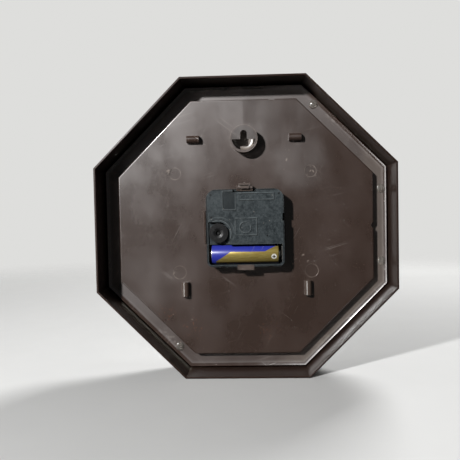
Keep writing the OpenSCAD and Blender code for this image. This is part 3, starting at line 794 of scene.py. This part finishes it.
@dataclass(frozen=True)
class CellSleeve(Finish):
    """The cell's printed foil: a blue band over gold, with a plus mark in a white disc."""

    blue: Colour
    gold: Colour
    fine_gold: Colour
    dark_gold: Colour
    disc: Colour
    ink: Colour
    scuffed: Colour
    seam_turn: float = -1.25
    dark_turn: float = -0.86
    plus_u: float = 20.4
    plus_turn: float = -0.25
    disc_radius: float = 1.95
    plus_reach: float = 1.15
    plus_half: float = 0.38

    def plus(self, pen: Pen, u: Socket, turn: Socket) -> tuple[Socket, Socket]:
        """The disc and the plus mark in it.

        Args:
            pen: The pen on the material.
            u: Place along the cell.
            turn: Angle round the cell.

        Returns:
            The two masks.
        """
        across = pen.math("SUBTRACT", u, self.plus_u)
        around = pen.both(pen.math("SUBTRACT", turn, self.plus_turn), CELL_RADIUS)
        squares = pen.math("ADD", pen.math("POWER", across, 2.0), pen.math("POWER", around, 2.0))
        disc = pen.math("LESS_THAN", pen.math("SQRT", squares), self.disc_radius)
        ways = pen.math("ABSOLUTE", across), pen.math("ABSOLUTE", around)
        return disc, pen.both(pen.math("LESS_THAN", pen.math("MAXIMUM", *ways), self.plus_reach),
                              pen.math("LESS_THAN", pen.math("MINIMUM", *ways), self.plus_half))

    def draw(self, pen: Pen) -> Inputs:
        """Draws the foil."""
        u, v, w = pen.bench()
        turn = pen.math("ARCTAN2", pen.math("SUBTRACT", v, CELL_V), pen.math("SUBTRACT", w, CELL_W))
        border = pen.math("ADD", pen.slope(u, -21.7, -11.0, -0.72, 0.286),
                          pen.slope(u, 13.9, 23.5, 0.0, 0.75))
        blue = pen.either(pen.math("GREATER_THAN", turn, border), pen.math("LESS_THAN", turn, self.seam_turn),
                          pen.math("LESS_THAN", u, -21.6))
        dark = pen.within(turn, self.seam_turn, self.dark_turn)
        disc, plus = self.plus(pen, u, turn)
        foil = pen.noise(pen.stretched(0.2, 1.0, 1.0), 900.0, 3.0)
        scuffs = pen.effect(Effect.SCRATCHES, vector=pen.place(), amount=0.8)["Mask"]
        colour = pen.mix(pen.span(foil, 0.35, 0.65), self.gold, self.fine_gold)
        for mask, tone in ((dark, self.dark_gold), (blue, self.blue), (disc, self.disc), (plus, self.ink),
                           (scuffs, self.scuffed)):
            colour = pen.mix(mask, colour, tone)
        return {"Base Color": colour,
                "Metallic": pen.both(pen.math("SUBTRACT", 1.0, pen.either(blue, disc)), 0.55),
                "Roughness": pen.raised(0.26, foil, 0.14),
                "Coat Weight": 0.4,
                "Coat Roughness": 0.12}


@dataclass(frozen=True)
class PaperCard(Finish):
    """Card or ink with fibres and a slight tone."""

    colour: Colour
    second: Colour
    roughness: float = 0.7
    fibre_mm: float = 0.35

    def draw(self, pen: Pen) -> Inputs:
        """Draws the card."""
        fibres = pen.noise(pen.stretched(1.0, 1.0, 0.3), 1 / (self.fibre_mm * MM), 4.0)
        share = pen.both(pen.span(fibres, 0.3, 0.8), pen.span(pen.noise(pen.place(), 20.0, 3.0), 0.3, 0.7))
        return {"Base Color": pen.mix(share, self.colour, self.second),
                "Roughness": pen.raised(self.roughness - 0.06, fibres, 0.12),
                "Normal": pen.bump(0.01, fibres)}


@dataclass(frozen=True)
class BoardLaminate(Finish):
    """Green laminate with copper tracks under its varnish."""

    green: Colour
    track: Colour

    def draw(self, pen: Pen) -> Inputs:
        """Draws the laminate."""
        where = pen.place()
        cells = pen.node("ShaderNodeTexVoronoi", {"Vector": where, "Scale": 260.0}, distance="MANHATTAN",
                         feature="F2")
        tracks = pen.span(cells.outputs["Distance"], 0.62, 0.7)
        weave = pen.noise(where, 2600.0)
        return {"Base Color": pen.mix(tracks, self.green, self.track),
                "Roughness": pen.raised(0.3, weave, 0.12),
                "Normal": pen.bump(0.03, pen.raised(pen.both(weave, 0.2), tracks, 0.8))}


@dataclass(frozen=True)
class WoundWire(Finish):
    """Fine enamelled wire wound side by side along u."""

    dark: Colour
    bright: Colour
    wire_mm: float = 0.12

    def draw(self, pen: Pen) -> Inputs:
        """Draws the winding."""
        u, _, _ = pen.bench()
        turns = pen.math("SINE", pen.both(u, 2 * math.pi / self.wire_mm))
        ripple = pen.noise(pen.place(), 600.0)
        share = pen.span(pen.math("ADD", turns, ripple), -0.4, 1.4)
        return {"Base Color": pen.mix(share, self.dark, self.bright),
                "Roughness": pen.raised(0.28, ripple, 0.15),
                "Normal": pen.bump(self.wire_mm * 0.4, turns),
                "Metallic": 0.8}


@dataclass(frozen=True)
class PaleFloor(Finish):
    """A plain floor that fades out away from the clock."""

    first: Colour
    second: Colour

    def draw(self, pen: Pen) -> Inputs:
        """Draws the floor."""
        away = pen.measure("LENGTH", pen.stretched(1, 1, 0))
        return {"Base Color": pen.mix(pen.noise(pen.place(), 30.0, 3.0), self.first, self.second),
                "Alpha": pen.span(away, 1.1, 0.35),
                "Roughness": 0.8,
                "Specular IOR Level": 0.1}


CASE_BROWN = CaseMoulding("case plastic", srgb(46, 33, 28), srgb(54, 40, 34), srgb(140, 118, 104), 0.28,
                          gloss=0.45, scratches=0.35, specks=0.04)
PLATE_BROWN = PlateMoulding("plate plastic", srgb(58, 42, 34), srgb(66, 49, 41), srgb(132, 118, 108), 0.21,
                            gloss=1.0, bump_mm=0.014, wear=0.45, ior=1.8, scratches=0.9)
# Pale plastic for the boss bowl: its light colour paints the bright highlight of the cove.
PALE_LIT_BOWL = Moulded("plate plastic pale for painted highlight", srgb(150, 140, 130), srgb(120, 108, 98), srgb(190, 182, 172),
                         0.3, gloss=1.0, bump_mm=0.01, wear=0.2, ior=1.8)
RING_BROWN = Moulded("ring plastic", srgb(44, 32, 28), srgb(52, 38, 33), srgb(120, 102, 92), 0.34)
SLATE = ShellMoulding("movement plastic", srgb(37, 43, 46), srgb(45, 52, 55), srgb(92, 100, 102), 0.36,
                      gloss=0.35, grain_mm=0.9, bump_mm=0.12, flow_mm=11.0, scratches=0.3, specks=0.05,
                      wear=0.8)
KNOB_BLACK = TurnedPlastic("knob plastic", srgb(17, 17, 18), srgb(22, 22, 23), srgb(90, 90, 90), 0.34,
                           bump_mm=0.004, wear=0.25, scratches=0.4, centre=KNOB_AT)
NYLON_WHITE = Moulded("nylon", srgb(226, 222, 208), srgb(214, 208, 190), srgb(240, 238, 230), 0.42,
                      flow_mm=6.0, scratches=0.1, specks=0.02, wear=0.1)
RESIN_BLACK = Moulded("black resin", srgb(18, 18, 20), srgb(24, 24, 26), srgb(70, 70, 70), 0.18,
                      grain_mm=1.5, bump_mm=0.05, scratches=0.1, specks=0.02, wear=0.0)
HAND_BLACK = Moulded("hand paint", srgb(20, 20, 20), srgb(26, 26, 26), srgb(120, 120, 118), 0.3,
                     grain_mm=0.3, scratches=0.2, specks=0.03, wear=0.4)
HAND_RED = Moulded("second hand paint", srgb(168, 30, 24), srgb(150, 24, 20), srgb(214, 120, 110), 0.3,
                   grain_mm=0.3, scratches=0.2, specks=0.03, wear=0.3)
LENS_CLEAR = ClearSheet("clear lens", srgb(246, 248, 248), srgb(205, 200, 190), 0.03, 1.49, 30.0, 0.01)
GLUE_MILKY = MilkyGlue("clear glue", srgb(176, 168, 158), srgb(204, 198, 190), srgb(230, 228, 222))
TIN = Metal("tinned metal", srgb(206, 204, 198), srgb(150, 146, 138), 0.22)
STATOR_STEEL = Metal("stator steel", srgb(172, 172, 170), srgb(126, 122, 116), 0.32)
SLEEVE_FOIL = CellSleeve("cell sleeve foil", srgb(48, 56, 160), srgb(192, 172, 98), srgb(172, 148, 78),
                         srgb(96, 74, 24), srgb(232, 230, 222), srgb(40, 32, 24), srgb(190, 186, 176))
CARD = PaperCard("dial card", srgb(236, 231, 214), srgb(226, 219, 198))
PRINT_BLACK = PaperCard("dial ink", srgb(26, 25, 24), srgb(34, 32, 30), 0.5)
BOARD_GREEN = BoardLaminate("board laminate", srgb(36, 92, 56), srgb(78, 128, 66))
COIL_COPPER = WoundWire("coil wire", srgb(120, 62, 34), srgb(205, 128, 78))
FLOOR_PALE = PaleFloor("pale floor", (0.70, 0.70, 0.69, 1.0), (0.73, 0.73, 0.72, 1.0))


def pick(*chosen: Piece) -> None:
    """Selects these objects alone, the first as the active one, or none at all.

    Args:
        chosen: The objects.
    """
    bpy.ops.object.select_all(action="DESELECT")
    for piece in chosen:
        piece.select_set(True)
        bpy.context.view_layer.objects.active = chosen[0]


@contextmanager
def editing() -> Iterator[None]:
    """Edit mode on the active object with all of it selected, and object mode again afterwards."""
    bpy.ops.object.mode_set(mode="EDIT")
    bpy.ops.mesh.select_all(action="SELECT")
    yield
    bpy.ops.object.mode_set(mode="OBJECT")


def face_outwards() -> None:
    """Turns all faces of the mesh in edit mode outwards."""
    bpy.ops.mesh.select_all(action="SELECT")
    bpy.ops.mesh.normals_make_consistent(inside=False)


def dress(piece: Piece, finish: Material) -> None:
    """Gives every slot of a piece one finish.

    Args:
        piece: The piece.
        finish: Its material.
    """
    if not piece.material_slots:
        piece.data.materials.append(finish)
    for slot in piece.material_slots:
        slot.material = finish


def carry(piece: Piece, body: Body, nodes: Sequence[str] = ()) -> None:
    """Puts a finished piece on its body's empty and hides the CAD nodes it stands for.

    Args:
        piece: The finished object.
        body: The body it rides on.
        nodes: CAD nodes that it stands for.
    """
    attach(piece, body.value)
    if nodes:
        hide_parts(*nodes)
    LOG.info("%s rides on %s with %d faces", piece.name, body.value, len(piece.data.polygons))


def apply_place(piece: Piece, place: Matrix) -> None:
    """Moves a piece to its place and puts the place into its mesh.

    Args:
        piece: The piece.
        place: Where it goes, from where it is.
    """
    piece.matrix_world = place @ piece.matrix_world
    pick(piece)
    bpy.ops.object.transform_apply(location=True, rotation=True, scale=True)


def add_modifier(piece: Piece, kind: str, **settings: Any) -> None:
    """Adds a modifier and applies it at once.

    Args:
        piece: The piece.
        kind: The modifier's type name.
        settings: Properties of the modifier.
    """
    pick(piece)
    modifier = piece.modifiers.new(kind.lower(), kind)
    for key, value in settings.items():
        setattr(modifier, key, value)
    bpy.ops.object.modifier_apply(modifier=modifier.name)


def reshape(nodes: Nodes, node: str, radius_mm: float, finish: Material, body: Body,
            sharp: float = 32.0) -> None:
    """Puts a copy with rounded edges and its own finish in a CAD node's place.

    Args:
        nodes: The frame's nodes.
        node: The node's name.
        radius_mm: Width of the rounding.
        finish: The copy's material.
        body: The body it rides on.
        sharp: Angle in degrees from which an edge is rounded.
    """
    piece = bpy.data.objects.new(f"{node}_moulded", nodes[node].data.copy())
    bpy.context.scene.collection.objects.link(piece)
    pick(piece)
    with editing():
        bpy.ops.mesh.remove_doubles(threshold=0.002 * MM)
        bpy.ops.mesh.dissolve_limited(angle_limit=math.radians(0.6))
    add_modifier(piece, "BEVEL", width=radius_mm * MM, segments=2, limit_method="ANGLE",
                 angle_limit=math.radians(sharp), miter_outer="MITER_ARC", use_clamp_overlap=True)
    pick(piece)
    bpy.ops.object.shade_smooth_by_angle(angle=math.radians(38))
    add_modifier(piece, "WEIGHTED_NORMAL", weight=90, keep_sharp=True)
    dress(piece, finish)
    carry(piece, body, [node])


def turned(name: str, rings: Sequence[Point], sides: int) -> Piece:
    """A solid of revolution about the z axis, grown ring by ring from a disc.

    Args:
        name: The piece's name.
        rings: Radius and height of each ring, from the bottom up.
        sides: Faces round the axis.

    Returns:
        The solid, closed at both ends.
    """
    radius, height = rings[0]
    pick()
    bpy.ops.mesh.primitive_circle_add(vertices=sides, radius=radius, fill_type="NGON", location=(0, 0, 0))
    piece = bpy.context.object
    piece.name = name
    with editing():
        bpy.ops.transform.translate(value=(0, 0, height))
        for next_radius, next_height in rings[1:]:
            lift = (0, 0, next_height - height)
            bpy.ops.mesh.extrude_region_move(TRANSFORM_OT_translate={"value": lift})
            grow = next_radius / radius
            bpy.ops.transform.resize(value=(grow, grow, 1))
            radius, height = next_radius, next_height
        face_outwards()
    bpy.ops.object.shade_smooth_by_angle(angle=math.radians(40))
    return piece


class Studio:
    """Camera, lamps, pale world and floor."""

    eye_mm = (4.4556, 12.1025, 383.907)
    lens_mm = 42.34
    right = (0.999043, -0.019949, -0.03892)
    up = (0.018584, 0.99921, -0.035123)
    back = (0.03959, 0.034366, 0.998625)
    lamp_aim = (0, 0, -20)
    lamp_way = (-0.62, 0.5, 1.0)
    lamp_away = 1.2
    lamp_watts = 16.5
    lamp_size = 0.06
    front_way = (0.7, 1.2, -1.1)
    front_away = 1.4
    front_watts = 18.0
    front_size = 0.5
    ambient = 0.045
    dim = 0.005
    window_light = 6.0
    pale = (0.73, 0.73, 0.715, 1.0)
    floor_radius = 1.2

    def camera(self) -> None:
        """Puts the camera where the photograph was taken from."""
        data = bpy.data.cameras.new("camera")
        data.lens = self.lens_mm
        data.sensor_width = 36.0
        data.clip_start = 0.01
        camera = bpy.data.objects.new("camera", data)
        bpy.context.scene.collection.objects.link(camera)
        axes = Matrix((self.right, self.up, self.back)).transposed()
        turn = BENCH.to_3x3() * (1 / MM) @ axes
        camera.matrix_world = Matrix.Translation(BENCH @ Vector(self.eye_mm)) @ turn.to_4x4()
        bpy.context.scene.camera = camera

    def lamp(self, name: str, way: Sequence[float], away: float, watts: float, size: float) -> None:
        """A square lamp that looks at the clock.

        Args:
            name: The lamp's name.
            way: Where it is as seen from the clock, on the bench.
            away: How far it is, in metres.
            watts: Its power.
            size: Its side, in metres.
        """
        data = bpy.data.lights.new(name, "AREA")
        data.energy = watts
        data.size = size
        lamp = bpy.data.objects.new(name, data)
        bpy.context.scene.collection.objects.link(lamp)
        towards = (BENCH.to_3x3() @ Vector(way)).normalized()
        lamp.location = BENCH @ Vector(self.lamp_aim) + towards * away
        lamp.rotation_euler = towards.to_track_quat("Z", "Y").to_euler()

    def world(self) -> None:
        """A level light with a pale background, and one window in the dim room behind the camera."""
        world = bpy.data.worlds.new("pale room")
        bpy.context.scene.world = world
        world.use_nodes = True
        world.node_tree.nodes.clear()
        pen = Pen(world.node_tree)
        path = pen.node("ShaderNodeLightPath").outputs
        way = pen.node("ShaderNodeTexCoord").outputs["Generated"]
        x, y, z = pen.node("ShaderNodeSeparateXYZ", {0: way}).outputs
        room = pen.span(y, -0.3, 0.2, 1.0, self.dim)
        across, high = (pen.math("DIVIDE", side, pen.math("MAXIMUM", y, 0.1)) for side in (x, z))
        window = pen.both(pen.span(across, 0.58, 0.68), pen.span(across, 1.25, 1.0),
                          pen.span(high, -0.55, -0.42), pen.span(high, 0.1, -0.02), pen.span(y, 0.1, 0.2))
        room = pen.raised(room, window, self.window_light)
        seen = pen.both(pen.either(path["Is Glossy Ray"], path["Is Transmission Ray"]), room)
        strength = pen.either(path["Is Camera Ray"], seen, self.ambient)
        light = pen.node("ShaderNodeBackground", {"Color": self.pale, "Strength": strength})
        pen.node("ShaderNodeOutputWorld", {"Surface": light.outputs[0]})

    def floor(self, low: float) -> None:
        """A round floor at a height of the row frame, which shows only to the camera.

        Args:
            low: The height, in metres.
        """
        pick()
        bpy.ops.mesh.primitive_circle_add(vertices=96, radius=self.floor_radius, fill_type="NGON",
                                          location=(0, 0, low))
        floor = bpy.context.object
        floor.name = "floor"
        dress(floor, FLOOR_PALE.make())
        floor.visible_glossy = False
        floor.visible_diffuse = False
        floor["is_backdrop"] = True

    def build(self, low: float) -> None:
        """Builds the studio round a floor at this height.

        Args:
            low: The height, in metres.
        """
        self.camera()
        self.lamp("lamp", self.lamp_way, self.lamp_away, self.lamp_watts, self.lamp_size)
        self.lamp("front lamp", self.front_way, self.front_away, self.front_watts, self.front_size)
        self.world()
        self.floor(low)
        bpy.context.scene.view_settings.view_transform = "Standard"


@dataclass
class CaseShell:
    """The octagonal case with its back plate and the ring inside."""

    nodes: Nodes
    rim_round_mm: float = 0.35
    plate_round_mm: float = 0.12
    boss_mm: float = 8.5
    cove_mm: float = 3.4
    cove_steps: int = 9
    gap_mm: float = 0.06

    def build(self) -> None:
        """Rounds and dresses the case, the plate and the ring."""
        for node, radius, finish, slot in (
            ("case_frame", self.rim_round_mm, CASE_BROWN, Slot.CASE),
            ("back_plate", self.plate_round_mm, PLATE_BROWN, Slot.PLATE),
            ("dial_ring", self.plate_round_mm, RING_BROWN, Slot.CASE),
        ):
            reshape(self.nodes, node, radius, finish.make(), Body.CASE)
            if node == "back_plate":
                self.boss_bowl()

    def boss_bowl(self) -> None:
        """The moulded hollow at the foot of the hanger boss, made pale so that its cove shows a painted
        highlight.
        """
        turns = [math.radians(90 * step / self.cove_steps) for step in range(self.cove_steps + 1)]
        cove = [(self.boss_mm - self.cove_mm * (1 - math.sin(turn)) - 0.02,
                 self.cove_mm * (1 - math.cos(turn)) + self.gap_mm) for turn in turns]
        outer = self.boss_mm + 0.4
        rings = [(0.4, self.gap_mm), *cove, (outer, self.cove_mm + self.gap_mm), (outer, -0.3), (0.4, -0.3)]
        bowl = turned("hanger_bowl", rings, 72)
        apply_place(bowl, BENCH @ Matrix.Translation((0, HANGER_RISE, PLATE_W)))
        dress(bowl, PALE_LIT_BOWL.make())
        carry(bowl, Body.CASE)


@dataclass
class GlueDrops:
    """Drops of clear glue that hold the plate's flange."""

    radius_mm: float = 3.7
    height_mm: float = 1.6
    places: Sequence[Point] = ((101.1, -27.0), (101.0, 27.0), (52.2, 90.4), (-51.6, -89.8))

    def drop(self, seed: int, u: float, v: float) -> Piece:
        """One drop, a little different each time.

        Args:
            seed: Number that sets its unevenness and its turn.
            u: Bench place to the right.
            v: Bench place upwards.

        Returns:
            The drop in its place.
        """
        pick()
        bpy.ops.mesh.primitive_ico_sphere_add(subdivisions=5, radius=self.radius_mm, location=(0, 0, 0))
        piece = bpy.context.object
        with editing():
            bpy.ops.mesh.bisect(plane_co=(0, 0, 0.05), plane_no=(0, 0, 1), use_fill=True, clear_inner=True)
            bpy.ops.mesh.select_all(action="SELECT")
            bpy.ops.transform.vertex_random(offset=0.22, uniform=0.4, normal=0.6, seed=seed)
            bpy.ops.mesh.vertices_smooth(factor=0.7, repeat=12)
            bpy.ops.mesh.normals_make_consistent(inside=False)
        heights = [point.co.z for point in piece.data.vertices]
        squash = self.height_mm / (max(heights) - min(heights))
        lift = Matrix.Translation((u, v, FLANGE_W - 0.02 - min(heights) * squash))
        flat = Matrix.Diagonal((1.0, 0.92, squash, 1.0))
        apply_place(piece, BENCH @ lift @ Matrix.Rotation(seed * 1.3, 4, "Z") @ flat)
        return piece

    def build(self) -> None:
        """Makes the drops and joins them."""
        pick(*[self.drop(index + 1, *place) for index, place in enumerate(self.places)])
        bpy.ops.object.join()
        piece = bpy.context.object
        piece.name = "glue_beads"
        bpy.ops.object.shade_smooth()
        dress(piece, GLUE_MILKY.make())
        carry(piece, Body.CASE, ["glue_drops"])


@dataclass
class Movement:
    """The quartz movement: its shells, knob, electric parts and gear train."""

    nodes: Nodes
    case_round_mm: float = 0.15
    cover_round_mm: float = 0.18
    knob_round_mm: float = 0.12
    strip_round_mm: float = 0.06

    def shells(self) -> None:
        """Rounds and dresses the two shells and the knob."""
        slate = SLATE.make()
        for node, radius in (("movement_case", self.case_round_mm), ("movement_cover", self.cover_round_mm)):
            reshape(self.nodes, node, radius, slate, Body.CASE)
        reshape(self.nodes, "setting_knob", self.knob_round_mm, KNOB_BLACK.make(), Body.KNOB, 40)

    def contacts(self) -> None:
        """Rounds and dresses the two contact strips."""
        tin = TIN.make()
        for node in ("negative_contact", "positive_contact"):
            reshape(self.nodes, node, self.strip_round_mm, tin, Body.CASE)
        dress(self.nodes["quartz_crystal"], tin)

    def inside(self) -> None:
        """Dresses what the shells hide."""
        nylon = NYLON_WHITE.make()
        for node in ("train_plate", "coil_bobbin", "fifth_wheel", "second_wheel", "third_wheel",
                     "centre_wheel", "minute_arbor", "motion_wheel", "hour_wheel", "rotor"):
            dress(self.nodes[node], nylon)
        for node, finish in (("circuit_board", BOARD_GREEN), ("chip_cover", RESIN_BLACK),
                             ("coil_winding", COIL_COPPER), ("stator", STATOR_STEEL)):
            dress(self.nodes[node], finish.make())

    def build(self) -> None:
        """Builds the movement."""
        self.shells()
        self.contacts()
        self.inside()


@dataclass
class Cell:
    """The AA cell: a drawn can with its nub, in a printed sleeve."""

    start_u: float = -25.15
    foil_mm: float = 0.1
    sides: int = 96

    def place(self) -> Matrix:
        """Turns the z axis of a turned piece into the cell's axis."""
        along = Matrix(((0, 0, 1, self.start_u), (1, 0, 0, CELL_V), (0, 1, 0, CELL_W), (0, 0, 0, 1)))
        return BENCH @ along

    def build(self) -> None:
        """Builds the can and the sleeve."""
        r = CELL_RADIUS
        can = turned("cell_can", [
            (3.6, 0.12), (4.4, 0.0), (5.6, 0.0), (5.9, 0.35), (6.3, 0.4), (6.5, 0.2), (6.85, 0.45),
            (r - 0.16, 0.8), (r - 0.16, 48.5), (6.6, 48.9), (6.1, 49.0), (5.7, 48.75), (3.4, 48.7),
            (2.9, 48.9), (2.75, 49.3), (2.75, 50.2), (2.55, 50.4), (1.9, 50.5)], self.sides)
        apply_place(can, self.place())
        dress(can, TIN.make())
        carry(can, Body.CELL)
        sleeve = turned("cell_sleeve", [
            (6.2, 0.62), (6.55, 0.5), (r - 0.12, 0.62), (r, 0.95), (r, 48.2), (r - 0.1, 48.75), (6.7, 49.0),
            (6.25, 49.08), (6.2, 48.95)], self.sides)
        self.hollow(sleeve)
        apply_place(sleeve, self.place())
        dress(sleeve, SLEEVE_FOIL.make())
        carry(sleeve, Body.CELL, ["battery"])

    def hollow(self, sleeve: Piece) -> None:
        """Opens the sleeve's two ends and gives the foil its thickness.

        Args:
            sleeve: The closed sleeve.
        """
        pick(sleeve)
        with editing():
            bpy.ops.mesh.select_all(action="DESELECT")
        for face in sleeve.data.polygons:
            face.select = len(face.vertices) > 4
        bpy.ops.object.mode_set(mode="EDIT")
        bpy.ops.mesh.delete(type="FACE")
        bpy.ops.object.mode_set(mode="OBJECT")
        add_modifier(sleeve, "SOLIDIFY", thickness=self.foil_mm, offset=-1.0)


@dataclass
class Dial:
    """The dial card with its printed numbers and minute track."""

    nodes: Nodes
    number_radius: float = 68.0
    number_size: float = 15.0
    track_radius: float = 83.5
    ink_mm: float = 0.04
    hour_mark: Point = (1.3, 5.0)
    minute_mark: Point = (0.5, 2.6)

    def front(self) -> Matrix:
        """The dial's front: x to the right and y up as the clock is read."""
        depth = (DIAL_W - 0.01) * MM
        return Matrix(((MM, 0, 0, 0), (0, 0, -MM, depth), (0, MM, 0, -HANGER_RISE * MM), (0, 0, 0, 1)))

    def joined(self, name: str, parts: Sequence[Piece], ink: Material) -> None:
        """Joins flat parts, gives them the ink's thickness and puts them on the dial.

        Args:
            name: The joined piece's name.
            parts: The flat parts.
            ink: Their material.
        """
        pick(*parts)
        bpy.ops.object.join()
        piece = bpy.context.object
        piece.name = name
        with editing():
            bpy.ops.mesh.remove_doubles(threshold=0.0005)
            bpy.ops.mesh.extrude_region_move(TRANSFORM_OT_translate={"value": (0, 0, self.ink_mm)})
            face_outwards()
        apply_place(piece, self.front())
        dress(piece, ink)
        carry(piece, Body.CASE)

    def numbers(self, ink: Material) -> None:
        """Twelve plain numbers.

        Args:
            ink: Their material.
        """
        parts = []
        for hour in range(1, 13):
            angle = math.radians(90 - 30 * hour)
            pick()
            spot = (self.number_radius * math.cos(angle), self.number_radius * math.sin(angle), 0)
            bpy.ops.object.text_add(location=spot)
            text = bpy.context.object
            text.data.body = str(hour)
            text.data.size = self.number_size
            text.data.align_x = "CENTER"
            text.data.align_y = "CENTER"
            text.data.resolution_u = 6
            pick(text)
            bpy.ops.object.convert(target="MESH")
            parts.append(bpy.context.object)
        self.joined("dial_numbers", parts, ink)

    def track(self, ink: Material) -> None:
        """Sixty marks, longer at each five.

        Args:
            ink: Their material.
        """
        parts = []
        for minute in range(60):
            wide, long = self.minute_mark if minute % 5 else self.hour_mark
            pick()
            bpy.ops.mesh.primitive_plane_add(size=1, location=(0, 0, 0))
            mark = bpy.context.object
            with editing():
                bpy.ops.transform.resize(value=(wide, long, 1))
                bpy.ops.mesh.bevel(offset=wide * 0.2, segments=2, affect="VERTICES")
            out = Matrix.Translation((0, self.track_radius - long / 2, 0))
            apply_place(mark, Matrix.Rotation(-math.radians(6 * minute), 4, "Z") @ out)
            parts.append(mark)
        self.joined("minute_track", parts, ink)

    def build(self) -> None:
        """Dresses the card and prints it."""
        dress(self.nodes["dial"], CARD.make())
        ink = PRINT_BLACK.make()
        self.numbers(ink)
        self.track(ink)


@dataclass
class Hands:
    """The three hands."""

    nodes: Nodes
    round_mm: float = 0.08

    def build(self) -> None:
        """Rounds and dresses the hands."""
        black = HAND_BLACK.make()
        for node, body, finish, slot in (
            ("hour_hand", Body.HOUR, black, Slot.HAND),
            ("minute_hand", Body.MINUTE, black, Slot.HAND),
            ("second_hand", Body.SECOND, HAND_RED.make(), Slot.RED),
        ):
            reshape(self.nodes, node, self.round_mm, finish, body)


def main() -> None:
    """Builds the clock and its studio."""
    logging.basicConfig(level=logging.INFO, format="%(name)s: %(message)s")
    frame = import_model()
    nodes = frame["nodes"]
    cad_low, cad_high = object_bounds()
    Studio().build(cad_low.z)
    CaseShell(nodes).build()
    GlueDrops().build()
    Movement(nodes).build()
    Cell().build()
    Dial(nodes).build()
    Hands(nodes).build()
    dress(nodes["lens"], LENS_CLEAR.make())


if __name__ == "__main__":
    main()
